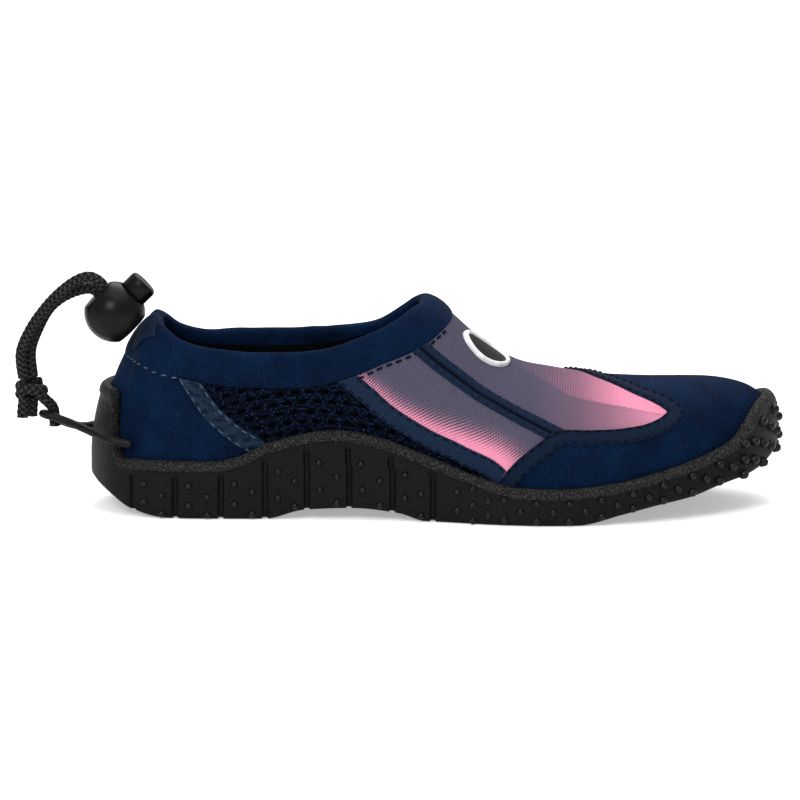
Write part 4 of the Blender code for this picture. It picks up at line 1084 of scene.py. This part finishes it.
# How far the pink print covers the mauve: dots that grow towards the lower edge of the side panels
# and, on the strip's far half, towards the toe. On its near half the pink comes in softly.
# By section: how far the dots reach up a side panel, how many there are, and the girth at which the
# strip's far half begins. By distance from the middle of the sole: the strip's dots and soft pink.
SIDE_REACH = ([5.9, 8.0], [0.0066, 0.0150])
SIDE_AMOUNT = ([5.8, 6.8, 7.6], [0.55, 0.80, 1.0])
FAR_HALF = ([8.0, 8.4, 9.3, 10.35, 11.4], [0.02, -0.0875, -0.275, -0.3375, -0.44])
STRIP_DOTS = ([0.020, 0.034, 0.050, 0.062, 0.069, 0.074], [0, 0.14, 0.34, 0.60, 0.86, 0.96])
STRIP_PINK = ([0.034, 0.050, 0.061, 0.070, 0.077, 0.082], [0, 0.10, 0.28, 0.55, 0.82, 0.94])
DOTS_EASE = 1.7
upper_girth = np.where(upper_q[:, None] <= LAST, -1, 1) * (1 - upper_v)
upper_at = np.broadcast_to(upper_k[:, None], upper_v.shape)
dots_share = np.zeros(upper_v.shape)
for side in (-1, 1):
    marks = split_line(SIDE_TAPE * (1, side))
    line = shoe_point(marks[:, 0], marks[:, 1])
    near = np.min(np.linalg.norm(upper_points[:, :, None] - line[None, None, ::6], axis=3), axis=2)
    width = np.interp(upper_at, *SIDE_REACH)
    share = np.clip(1.02 - 1.02 * (near - TAPE_WIDTH / 2) / width, 0, 1) ** DOTS_EASE
    share = share * np.interp(upper_at, *SIDE_AMOUNT)
    on_side = (panel_of(upper_at, upper_girth) == 1) & (np.sign(upper_girth) == side)
    on_side |= (near < TAPE_WIDTH) & (np.sign(upper_girth) == side)
    dots_share = np.where(on_side, share, dots_share)
on_strip = (panel_of(upper_at, upper_girth) == 0) & (upper_at > 6.5)
far_side = np.interp(upper_at, *FAR_HALF)
beyond = np.clip((upper_girth - far_side) / 0.012, 0, 1)
along_x = upper_points[..., 0]
strip_dots = np.interp(along_x, *STRIP_DOTS)
soft_pink = np.interp(along_x, *STRIP_PINK)
dots_share = np.where(on_strip, strip_dots * beyond, dots_share)
blush_share = np.where(on_strip, soft_pink * (1 - beyond), 0.0)

# Printed by heat transfer on polyester jersey, so the colours lie in the yarns: matt, with the knit's
# fine grain in both of them.
printed, printed_shader = new_finish("printed stretch jersey", 0.85, Specular_IOR_Level=0.05)
fabric = add(printed, "UVMap", uv_map="fabric")
# The halftone screen: dots 0.8 mm apart, set on the diagonal.
DOT_PITCH = 0.00082
turned = add(printed, "VectorRotate", {"Vector": fabric, "Angle": math.radians(45)}, rotation_type="Z_AXIS")
halves = add(printed, "SeparateXYZ", {"Vector": turned})
waves = []
for axis in ("X", "Y"):
    phase = add(
        printed, "Math", {0: halves.outputs[axis], 1: 2 * math.pi / DOT_PITCH}, operation="MULTIPLY"
    )
    waves.append(add(printed, "Math", {0: phase}, operation="COSINE"))
both = add(printed, "Math", {0: waves[0], 1: waves[1]}, operation="ADD")
screen = add(printed, "Math", {0: both, 1: 0.25, 2: 0.5}, operation="MULTIPLY_ADD")
# A dot is printed where the wanted cover is over the screen, with an edge that is a little soft.
share = add(printed, "Attribute", attribute_name="dots")
want = add(printed, "Math", {0: share, 1: 1.3, 2: -0.15}, operation="MULTIPLY_ADD")
over = add(printed, "Math", {0: want, 1: screen}, operation="SUBTRACT")
dot = add(printed, "Math", {0: over, 1: 3.2, 2: 0.5}, operation="MULTIPLY_ADD", use_clamp=True)
blush = add(printed, "Attribute", attribute_name="blush")
yarn = add(printed, "TexNoise", {"Vector": fabric, "Scale": 2300.0, "Detail": 2.0, "Roughness": 0.6})
yarn_tone = add(printed, "ValToRGB", {"Fac": yarn}, ((0.30, "#353241"), (0.70, "#5A576A")))
pink_tone = add(printed, "ValToRGB", {"Fac": yarn}, ((0.30, "#D97F9C"), (0.70, "#EA96B0")))
blushed = add(printed, "Mix", {"Factor": blush, 6: yarn_tone, 7: srgb("#D488A2")}, data_type="RGBA")
dotted = add(printed, "Mix", {"Factor": dot, 6: blushed, 7: pink_tone}, data_type="RGBA")
put(printed, printed_shader, "Base Color", dotted)
put(
    printed, printed_shader, "Normal",
    add(printed, "Bump", {"Height": yarn, "Strength": 0.35, "Distance": 0.0002}),
)

# Neoprene foam with dyed nylon jersey laminated to it, so it is a deep matt navy with a soft nap.
neoprene, neoprene_shader = new_finish(
    "navy jersey-faced neoprene", 0.80, Specular_IOR_Level=0.04, Sheen_Weight=0.02
)
neoprene_shader.inputs["Sheen Tint"].default_value = srgb("#3F6AA8")
neoprene_place = add(neoprene, "TexCoord")
# Jersey stitches about 0.5 mm across, and broad patches where the nap lies another way.
jersey = add(
    neoprene, "TexNoise", {"Vector": neoprene_place, "Scale": 1600.0, "Detail": 2.0, "Roughness": 0.65}
)
nap = add(neoprene, "TexNoise", {"Vector": neoprene_place, "Scale": 75.0, "Detail": 3.0})
nap_tone = add(neoprene, "ValToRGB", {"Fac": nap}, ((0.32, "#031127"), (0.70, "#051C38")))
# Painted shade between the stitches takes the cloth to 0.42 of its tone, and a painted highlight makes
# their tops 1.6 times as light.
shaded, lit = (0.42, 0.42, 0.42, 1), (1.60, 1.60, 1.60, 1)
stitch_tone = add(neoprene, "ValToRGB", {"Fac": jersey}, ((0.30, shaded), (0.72, lit)))
stitch_light_and_shade = add(
    neoprene, "Mix", {"Factor": 1.0, 6: nap_tone, 7: stitch_tone}, data_type="RGBA", blend_type="MULTIPLY"
)
put(neoprene, neoprene_shader, "Base Color", stitch_light_and_shade)
put(
    neoprene, neoprene_shader, "Normal",
    add(neoprene, "Bump", {"Height": jersey, "Strength": 0.3, "Distance": 0.0002}),
)

# Warp-knitted in two layers with open holes, so it is a matt dark net. Its pale specks are a painted
# highlight where the yarns catch the light, and the nearly black holes are painted shade.
mesh_cloth, mesh_shader = new_finish("open spacer mesh", 0.85, Specular_IOR_Level=0.02)
mesh_map = add(mesh_cloth, "UVMap", uv_map="fabric")
# Rows of oval holes 5.4 mm apart along the shoe and 3.6 mm from row to row, every other row shifted.
HOLE_STEP = 0.0054
HOLE_ROW = 0.0036
HOLE_HALF_LENGTH, HOLE_HALF_WIDTH = 0.31, 0.23
mesh_axes = add(mesh_cloth, "SeparateXYZ", {"Vector": mesh_map})
row_place = add(mesh_cloth, "Math", {0: mesh_axes.outputs["Y"], 1: HOLE_ROW}, operation="DIVIDE")
row_number = add(mesh_cloth, "Math", {0: row_place}, operation="FLOOR")
row_shift = add(mesh_cloth, "Math", {0: row_number, 1: 0.5}, operation="MULTIPLY")
column_place = add(
    mesh_cloth, "Math", {0: mesh_axes.outputs["X"], 1: 1 / HOLE_STEP, 2: row_shift},
    operation="MULTIPLY_ADD",
)
# How far a place is from the middle of its hole both ways, in halves of the hole.
hole_parts = []
for cell_place, half in ((row_place, HOLE_HALF_WIDTH), (column_place, HOLE_HALF_LENGTH)):
    in_cell = add(mesh_cloth, "Math", {0: cell_place}, operation="FRACT")
    off_middle = add(mesh_cloth, "Math", {0: in_cell, 1: 0.5}, operation="SUBTRACT")
    hole_parts.append(add(mesh_cloth, "Math", {0: off_middle, 1: 1 / half}, operation="MULTIPLY"))
row_part, column_part = hole_parts
row_square = add(mesh_cloth, "Math", {0: row_part, 1: row_part}, operation="MULTIPLY")
hole_far = add(
    mesh_cloth, "Math", {0: column_part, 1: column_part, 2: row_square}, operation="MULTIPLY_ADD"
)
ragged = add(mesh_cloth, "TexNoise", {"Vector": mesh_map, "Scale": 1300.0, "Detail": 2.0})
hole_edge = add(mesh_cloth, "Math", {0: ragged, 1: 0.9, 2: hole_far}, operation="MULTIPLY_ADD")
solid_part = add(mesh_cloth, "MapRange", {"Value": hole_edge, "From Min": 1.15, "From Max": 1.65})
specks = add(mesh_cloth, "TexNoise", {"Vector": mesh_map, "Scale": 1150.0, "Detail": 3.0, "Roughness": 0.7})
yarn_highlight_tone = add(
    mesh_cloth, "ValToRGB", {"Fac": specks}, ((0.42, "#020308"), (0.68, "#222F52"), (0.53, "#050914"))
)
# Painted shade: the open holes are painted nearly black, as the shade inside them.
mesh_colour = add(
    mesh_cloth, "Mix", {"Factor": solid_part, 6: srgb("#010103"), 7: yarn_highlight_tone}, data_type="RGBA"
)
put(mesh_cloth, mesh_shader, "Base Color", mesh_colour)
mesh_height = add(mesh_cloth, "Math", {0: specks, 1: 0.5, 2: solid_part}, operation="MULTIPLY_ADD")
put(
    mesh_cloth, mesh_shader, "Normal",
    add(mesh_cloth, "Bump", {"Height": mesh_height, "Strength": 0.8, "Distance": 0.0006}),
)

# A plain dyed knit with no finish on it; its near-black tone is painted shade of the shoe's inside.
lining, _, _ = mottled(
    "knit lining darkened with painted shade", 0.95, 0.05, {"Scale": 900.0, "Detail": 2.0}, ((0.0, "#020204"), (1.0, "#0A0C12"))
)

shell = show("upper_shell", upper_points, upper_faces, printed, upper_uv)
for look in (printed, mesh_cloth, neoprene, neoprene, lining):
    shell.data.materials.append(look)
shell.data.polygons.foreach_set("material_index", face_looks)
mark(shell, "dots", dots_share)
mark(shell, "blush", blush_share)
merge(shell, 2e-5)
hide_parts("upper")

# Collar
# A soft neoprene band, folded over a foam core and sewn to the upper along its foot. The drawcord runs
# inside it, so it is a little fuller halfway up.
COLLAR_PADDING = 0.0046
COLLAR_PROFILE = [
    (-0.03, -0.02), (0.02, 0.10), (0.16, 0.20), (0.42, 0.24), (0.70, 0.19), (0.88, 0.05), (0.985, -0.20),
    (1.00, -0.50), (0.94, -0.84), (0.70, -1.00), (0.36, -0.92), (0.14, -0.68), (0.02, -0.40),
]
COLLAR_STEPS = 120
# Soft dents: a place round the band from heel (0) to throat (1), outer side negative, a share of the
# way up, then reach along, reach up and depth in mm.
DENTS = [
    (-0.10, 0.45, 0.035, 0.50, 0.45),
    (-0.22, 0.60, 0.030, 0.40, 0.30),
    (-0.50, 0.30, 0.060, 0.30, 0.35),
    (-0.74, 0.55, 0.050, 0.45, 0.40),
    (-0.90, 0.35, 0.035, 0.50, 0.35),
    (0.12, 0.50, 0.040, 0.50, 0.40),
    (0.45, 0.45, 0.060, 0.40, 0.35),
    (0.80, 0.50, 0.045, 0.50, 0.35),
]
top_front = front_of(COLLAR_TOP)
step = np.arange(2 * COLLAR_STEPS)
collar_side = np.where(step <= COLLAR_STEPS, 1, -1)
collar_t = np.where(step <= COLLAR_STEPS, step, 2 * COLLAR_STEPS - step) / COLLAR_STEPS
ease = 1 - (1 - collar_t) ** 2
seam_q, top_q = seam_front * ease, top_front * ease
seam_v = np.where(collar_t < 1, crossing(seam_q, collar_seam), 1.0)
top_v = np.where(collar_side > 0, crossing(top_q, collar_top), crossing(top_q, inner_top))
top_v = np.where(collar_t < 1, top_v, 1.0)
knots = np.array(COLLAR_PROFILE)
four_steps = np.linspace(0, 0.75, 4)[:, None]
profile = []
for i in range(len(knots)):
    near = [knots[(i + ahead) % len(knots)] for ahead in (-1, 0, 1, 2)]
    profile.append(between(*near, four_steps))
profile = np.concatenate(profile)
ring_rows = len(profile)
ring_q = seam_q[:, None] + (top_q - seam_q)[:, None] * profile[:, 0]
ring_v = seam_v[:, None] + (top_v - seam_v)[:, None] * profile[:, 0]
ring_depth = np.broadcast_to(profile[:, 1] * COLLAR_PADDING, ring_q.shape).copy()
signed_t = -collar_side * collar_t
for place, up_share, reach, up_reach, deep in DENTS:
    along = np.exp(-(((signed_t - place) / reach) ** 2))[:, None]
    up = np.exp(-(((profile[:, 0] - up_share) / up_reach) ** 2)) * (profile[:, 1] > -0.4)
    ring_depth -= along * up * deep / 1000
ring_points = off_last(collar_side[:, None] * ring_q, ring_v, ring_depth)
ring_faces = grid_faces(len(step), ring_rows, closed=True, loop=True)
collar = show("collar_band", ring_points, ring_faces, neoprene)
collar.data.materials.append(lining)
# Inside the band, a little over halfway up, the navy gives way to the dark lining as painted shade of
# the shoe's inside.
INSIDE_SHADE_DEPTH, INSIDE_SHADE_TOP = -0.55, 0.56
shaded_inside_rows = (profile[:, 1] < INSIDE_SHADE_DEPTH) & (profile[:, 0] < INSIDE_SHADE_TOP)
collar.data.polygons.foreach_set("material_index", np.tile(shaded_inside_rows.astype(int), len(step)).tolist())
merge(collar)
flip_if_inside_out(collar)
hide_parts("collar")

# Seam tapes
# Ribbed tapes sewn over the joins between panels, with a row of stitches along each edge. Those beside
# the centre strip have two ribs and a channel.
RIB_PITCH = 0.0008
FLAT_TAPE = [
    (-1.0, -0.10), (-0.97, 0.50), (-0.90, 0.85), (-0.78, 0.95), (-0.68, 0.80), (-0.55, 0.98), (-0.28, 1.08),
    (0.0, 1.12), (0.28, 1.08), (0.55, 0.98), (0.68, 0.80), (0.78, 0.95), (0.90, 0.85), (0.97, 0.50), (
        1.0, -0.10
    ),
]
TWIN_TAPE = [
    (-1.0, -0.10), (-0.96, 0.55), (-0.86, 1.00), (-0.66, 1.30), (-0.44, 1.20), (-0.28, 0.70), (-0.20, 0.25),
    (-0.08, 0.20), (0.02, 0.30), (0.10, 0.90), (0.25, 1.25), (0.50, 1.45), (0.74, 1.25), (0.90, 0.80),
    (0.97, 0.45), (1.0, -0.10),
]


def aside(places, headings, distance):
    """Places a distance to the left of a path, in section and girth."""
    at, girth = places[..., 0], places[..., 1]
    tiny = 0.01
    by_at = (shoe_point(at + tiny, girth) - shoe_point(at - tiny, girth)) / (2 * tiny)
    by_girth = (shoe_point(at, girth + tiny) - shoe_point(at, girth - tiny)) / (2 * tiny)
    up = np.cross(by_at, by_girth)
    up /= np.linalg.norm(up, axis=-1, keepdims=True)
    forward = by_at * headings[..., :1] + by_girth * headings[..., 1:]
    left = np.cross(up, forward)
    left = left / np.linalg.norm(left, axis=-1, keepdims=True) * distance
    a, b, d = (by_at**2).sum(-1), (by_at * by_girth).sum(-1), (by_girth**2).sum(-1)
    one, other = (by_at * left).sum(-1), (by_girth * left).sum(-1)
    det = a * d - b * b
    return np.stack([at + (d * one - b * other) / det, girth + (a * other - b * one) / det], axis=-1)


def off_shoe(places, distance):
    """Points that stand a distance off the upper at places of section and girth."""
    at, girth = places[..., 0], places[..., 1]
    return off_last(shoe_q(at, girth), 1 - np.abs(girth), distance)


toe_places = shoe_point(toe_line[:, 0], toe_line[:, 1])


def on_the_upper(places, clear=0.0):
    """Whether places lie between collar and rubber and, where asked, clear of the toe tape."""
    points = shoe_point(places[:, 0], places[:, 1])
    q = shoe_q(places[:, 0], places[:, 1])
    kept = points[:, 2] < collar_seam(points[:, 0]) - 0.0002
    kept &= 1 - np.abs(places[:, 1]) > rim_share(q % ROUND) - 0.002
    if clear:
        near = np.min(np.linalg.norm(points[:, None] - toe_places[None], axis=2), axis=1)
        kept &= near > clear
    return kept


def lay_tape(name, marks, width, cross, look, clear=0.0, steps=240, crumple=0.0):
    """A tape along its marks, trimmed lane by lane. Returns the piece, and its lanes for the stitches."""
    shares = np.linspace(0, 1, 401)
    path = route(marks, shares)
    headings = np.gradient(path, axis=0)
    lanes = []
    for across, _ in cross:
        lane = aside(path, headings, across * width / 2)
        kept = np.flatnonzero(on_the_upper(lane, clear))
        breaks = np.flatnonzero(np.diff(kept) > 1)
        first, final = kept[0], kept[breaks[0]] if len(breaks) else kept[-1]
        places = np.linspace(first, final, steps + 1)
        lanes.append(np.stack([np.interp(places, np.arange(401), lane[:, k]) for k in (0, 1)], axis=-1))
    lanes = np.array(lanes)
    cross_at, cross_height = np.array(cross).T[..., None]
    heights = cross_height * TAPE_THICKNESS * np.ones((1, steps + 1))
    if crumple:
        # Two waves that don't repeat together lift the cloth between its sewn edges.
        along = np.linspace(0, 1, steps + 1)[None]
        lift = np.sin(along * 31 + cross_at * 1.7) + 0.6 * np.sin(along * 53 + 1.3)
        heights += crumple * lift * (np.abs(cross_at) < 0.95)
    points = off_shoe(lanes, heights)
    along = lengths_along(points[len(cross) // 2])
    uv = np.stack(np.broadcast_arrays(along, cross_at * width / 2), axis=-1)
    piece = show(name, points, grid_faces(len(cross), steps + 1), look, uv)
    middle_face = piece.data.polygons[len(piece.data.polygons) // 2]
    centre = lanes[len(cross) // 2, steps // 2]
    shown_way = last_normal(shoe_q(*centre), 1 - abs(centre[1]))
    if middle_face.normal.dot(Vector(shown_way)) < 0:
        piece.data.flip_normals()
    return piece, lanes


def ribbed(name, colours, slant, rib_depth, worn=0.0, channel=None):
    """A tape's cloth. Woven nylon with raised ribs is dull, with a line of shade between two ribs and
    stray lighter yarns."""
    look, shader = new_finish(name, 0.7, Specular_IOR_Level=0.05)
    tape_map = add(look, "UVMap", uv_map="fabric")
    axes = add(look, "SeparateXYZ", {"Vector": tape_map})
    leaning = add(
        look, "Math", {0: axes.outputs["Y"], 1: slant, 2: axes.outputs["X"]}, operation="MULTIPLY_ADD"
    )
    phase = add(look, "Math", {0: leaning, 1: 2 * math.pi / RIB_PITCH}, operation="MULTIPLY")
    wave = add(look, "Math", {0: phase}, operation="SINE")
    yarns = add(look, "TexNoise", {"Vector": tape_map, "Scale": 1500.0, "Detail": 3.0, "Roughness": 0.7})
    level_of = add(look, "Math", {0: wave, 1: 0.22, 2: yarns}, operation="MULTIPLY_ADD")
    tone_of = add(look, "ValToRGB", {"Fac": level_of}, ((0.28, colours[0]), (0.78, colours[1])))
    colour = tone_of
    if worn:
        # Rubbed and stained patches a few millimetres across.
        patches = add(
            look, "TexNoise", {"Vector": tape_map, "Scale": 330.0, "Detail": 4.0, "Roughness": 0.7}
        )
        stained = {"Value": patches, "From Min": 0.40, "From Max": 0.60, "To Min": worn, "To Max": 0.0}
        dark_part = add(look, "MapRange", stained)
        colour = add(look, "Mix", {"Factor": dark_part, 6: colour, 7: srgb("#0A1322")}, data_type="RGBA")
    if channel is not None:
        # The shade in the channel between the two ribs.
        off_middle = add(look, "Math", {0: axes.outputs["Y"], 1: channel}, operation="SUBTRACT")
        far = add(look, "Math", {0: off_middle}, operation="ABSOLUTE")
        sunk = {"Value": far, "From Min": 0.0004, "From Max": 0.0009, "To Min": 0.85, "To Max": 0.0}
        shade = add(look, "MapRange", sunk)
        colour = add(look, "Mix", {"Factor": shade, 6: colour, 7: srgb("#03060D")}, data_type="RGBA")
    put(look, shader, "Base Color", colour)
    put(
        look, shader, "Normal",
        add(look, "Bump", {"Height": level_of, "Strength": rib_depth, "Distance": 0.0004}),
    )
    return look


tape_cloth = ribbed("ribbed nylon seam tape", ("#091526", "#22344F"), 0.0, 0.8)
twin_cloth = ribbed("ribbed nylon twin tape", ("#071222", "#1E2F49"), 0.0, 0.8, channel=-0.00046)
rope_cloth = ribbed("slant-ribbed nylon seam tape", ("#061021", "#172841"), 0.9, 0.9)
webbing = ribbed("worn heel webbing", ("#0A1526", "#30465F"), 0.4, 0.9, worn=0.85)
HEEL_CRUMPLE = 0.00042
clear_of_toe = TOE_TAPE_WIDTH / 2 + 0.0001
laid = {}
for label, side in (("lateral", -1), ("medial", 1)):
    for name, marks, cross, look, clear, crumple in (
        ("vamp_tape_", VAMP_TAPE, TWIN_TAPE, twin_cloth, clear_of_toe, 0.0),
        ("side_tape_", SIDE_TAPE, FLAT_TAPE, tape_cloth, clear_of_toe, 0.0),
        ("heel_tape_", HEEL_TAPE, FLAT_TAPE, webbing, 0.0, HEEL_CRUMPLE),
    ):
        way = marks * (1, side)
        piece, lanes = lay_tape(name + label + "_cloth", way, TAPE_WIDTH, cross, look, clear, 200, crumple)
        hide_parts(name + label)
        laid[name + label] = lanes
piece, lanes = lay_tape("toe_tape_cloth", TOE_TAPE, TOE_TAPE_WIDTH, FLAT_TAPE, rope_cloth, 0.0, 520)
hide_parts("toe_tape")
laid["toe_tape"] = lanes

# Stitches
# Rows of polyester thread: dark along the tapes and under the collar on the printed panels, pale at
# the heel, where the thread has faded.
THREAD_SIDES = 6
THREAD_RADIUS = 0.00030
TAPE_THREAD_RADIUS = 0.00024
COLLAR_THREAD_RADIUS = 0.00042
# Length and gap of the stitches along the tapes, under the collar in front, and at the heel.
TAPE_STITCH, COLLAR_STITCH, HEEL_STITCH = (0.0024, 0.0014), (0.0024, 0.0013), (0.0021, 0.0019)
HEEL_SLANT = 0.0006
# A stitch from end to end: where along it lies, how high it stands in radii, and how thick it is there.
STITCH_ALONG = np.array([0.0, 0.12, 0.35, 0.65, 0.88, 1.0])
STITCH_RISE = np.array([-0.9, -0.1, 0.35, 0.35, -0.1, -0.9])
STITCH_SIZE = (0.55, 0.95, 1.0, 1.0, 0.95, 0.55)


def stitch_row(store, places, lift, length, gap, radius=THREAD_RADIUS, slant=0.0):
    """Short lengths of thread that dip into the cloth at both ends."""
    points = off_shoe(places, np.full(len(places), lift))
    normals = last_normal(shoe_q(places[:, 0], places[:, 1]), 1 - np.abs(places[:, 1]))
    along = lengths_along(points)
    here = gap / 2
    while here + length < along[-1]:
        spots = here + length * STITCH_ALONG
        line = np.stack([np.interp(spots, along, points[:, k]) for k in range(3)], axis=1)
        up = np.array([np.interp(here + length / 2, along, normals[:, k]) for k in range(3)])
        way = line[-1] - line[0]
        way /= np.linalg.norm(way)
        side = np.cross(up, way)
        line = line + side * (np.linspace(-0.5, 0.5, 6) * slant)[:, None]
        line = line + up * STITCH_RISE[:, None] * radius
        first = len(store[0])
        for centre, size in zip(line, STITCH_SIZE):
            for k in range(THREAD_SIDES):
                turn = 2 * math.pi * k / THREAD_SIDES
                store[0].append(centre + (side * math.cos(turn) + up * math.sin(turn)) * radius * size)
        store[1].extend(grid_faces(6, THREAD_SIDES, loop=True, start=first))
        store[1].append(tuple(range(first, first + THREAD_SIDES)))
        store[1].append(tuple(reversed(range(first + 5 * THREAD_SIDES, first + 6 * THREAD_SIDES))))
        here += length + gap


def below_seam(first, final, side, drop):
    """A line that runs along the collar's seam, a little way below it."""
    at = np.linspace(first, final, 300)
    seam = crossing(side * -at % ROUND, lambda x: collar_seam(x) - drop)
    return np.stack([at, side * (1 - seam)], axis=-1)


dark_threads, pale_threads = ([], []), ([], [])
edge_rows = {len(FLAT_TAPE): (3, 11), len(TWIN_TAPE): (3, 12)}
for name, lanes in laid.items():
    store = pale_threads if name.startswith("heel") else dark_threads
    for lane in edge_rows[len(lanes)]:
        stitch_row(store, lanes[lane], TAPE_THICKNESS * 1.02, *TAPE_STITCH, TAPE_THREAD_RADIUS)
for side in (-1, 1):
    front_line = below_seam(5.5, seam_front - 0.12, side, 0.0015)
    stitch_row(dark_threads, front_line, 0.00030, *COLLAR_STITCH, COLLAR_THREAD_RADIUS)
    heel_line = below_seam(0.2, 2.9, side, 0.0006)
    stitch_row(pale_threads, heel_line, 0.00010, *HEEL_STITCH, slant=HEEL_SLANT)
# Twisted from spun polyester, so the thread is matt, with slightly uneven tone along it.
for name, store, colours in (
    ("dark_stitches", dark_threads, ("#03060D", "#0E1626")),
    ("pale_stitches", pale_threads, ("#233348", "#596C85")),
):
    spun = name.replace("_stitches", " polyester thread")
    tones = ((0.0, colours[0]), (1.0, colours[1]))
    thread, _, _ = mottled(spun, 0.75, 0.04, {"Scale": 1400.0, "Detail": 2.0}, tones)
    row = show(name, *store, thread)
    merge(row, outwards=True)

# Cord tunnel
# A ribbed patch of woven webbing binds the mouth of the drawcord's tunnel at the back of the collar.
# Its ends are folded under and it is sewn down all round.
TUNNEL_MOUTH = np.array([(1.05, -0.345), (1.60, -0.322), (2.20, -0.326)])
TUNNEL_HEIGHT = 0.0070
TUNNEL_LENGTH = 0.0137
PATCH_STEPS = 61
# How far the patch stands off the upper: the padding under it, as a share of the collar's, and its glue.
UNDER_PATCH, PATCH_GLUE = 0.22, 0.0004
PATCH = [
    (-1.0, 0.0), (-0.97, 0.7), (-0.88, 1.0), (-0.5, 1.1), (0.0, 1.15), (0.5, 1.1), (0.88, 1.0), (0.97, 0.7),
    (1.0, 0.0),
]
patch_share = np.linspace(0, 1, PATCH_STEPS)
patch_path = route(TUNNEL_MOUTH, patch_share)
patch_headings = np.gradient(patch_path, axis=0)
end_round = np.clip(np.minimum(patch_share, np.linspace(1, 0, PATCH_STEPS)) / 0.06, 0, 1) ** 0.5
patch_lanes = np.array(
    [aside(patch_path, patch_headings, across * TUNNEL_HEIGHT / 2) for across, _ in PATCH]
)
patch_at, patch_height = np.array(PATCH).T[..., None]
lift = UNDER_PATCH * COLLAR_PADDING + PATCH_GLUE
patch_points = off_shoe(patch_lanes, lift + patch_height * TAPE_THICKNESS * end_round)
patch_along = np.linspace(0, TUNNEL_LENGTH, PATCH_STEPS)
patch_uv = np.stack(np.broadcast_arrays(patch_along, patch_at * TUNNEL_HEIGHT / 2), axis=-1)
tunnel_cloth = ribbed("dark tunnel webbing", ("#071020", "#1D2E46"), 0.2, 0.9)
patch = show("cord_tunnel_cloth", patch_points, grid_faces(len(PATCH), PATCH_STEPS), tunnel_cloth, patch_uv)
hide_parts("cord_tunnel")

# Badge
# A round moulded badge welded to the centre strip: a raised white rim round a plain black field, both
# of soft plastic, so they bend with the cloth.
BADGE = np.array((7.845, -0.120))
BADGE_SIDES = 96
RING_PROFILE = [
    (0.0083, 0.0002), (0.0084, 0.0009), (0.0086, 0.0013), (0.0089, 0.0016), (0.0092, 0.0017), (
        0.0096, 0.0016
    ),
    (0.0099, 0.0013), (0.0101, 0.0009), (0.0102, 0.0004), (0.0102, -0.0002),
]
FIELD_HEIGHT = 0.0008
FIELD_PROFILE = [(radius, FIELD_HEIGHT) for radius in (0.0, 0.0015, 0.0030, 0.0045, 0.0060, 0.0075, 0.0085)]


def bent_disc(name, profile, look):
    """A disc or ring of pairs of radius and height, bent over the upper round the badge's middle."""
    turns = np.linspace(0, 2 * math.pi, BADGE_SIDES, endpoint=False)
    columns = []
    middle, down_way, along_way = (
        np.broadcast_to(pair, (BADGE_SIDES, 2)) for pair in (BADGE, (0.0, 1.0), (1.0, 0.0))
    )
    for radius, height in profile:
        down = aside(middle, down_way, (radius * np.cos(turns))[:, None])
        along = aside(middle, along_way, (radius * np.sin(turns))[:, None])
        columns.append(off_shoe(down + along - BADGE, np.full(BADGE_SIDES, height)))
    points = np.stack(columns, axis=1)
    made = show(name, points, grid_faces(BADGE_SIDES, len(profile), closed=True), look)
    merge(made, outwards=True)
    up = last_normal(shoe_q(*BADGE), 1 - abs(BADGE[1]))
    if sum(face.normal.dot(Vector(up)) * face.area for face in made.data.polygons) < 0:
        made.data.flip_normals()
    return made


# Moulded soft plastic from a smooth tool, so the rim is clean white with a soft light, and a little
# grimy in patches 4 mm across.
white_rim, _, _ = mottled(
    "white moulded badge rim", 0.40, 0.3, {"Scale": 260.0, "Detail": 4.0},
    ((0.25, "#CFCFD2"), (0.60, "#EDEDEF")),
)
# The same plastic in black, from an etched part of the tool, so the field stays dull.
black_field, _, _ = mottled(
    "black moulded badge field", 0.50, 0.1, {"Scale": 1500.0, "Detail": 2.0},
    ((0.0, "#060707"), (1.0, "#121314")),
)
ring = bent_disc("badge_rim", RING_PROFILE, white_rim)
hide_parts("badge_ring")
field = bent_disc("badge_plate", FIELD_PROFILE, black_field)
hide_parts("badge_field")
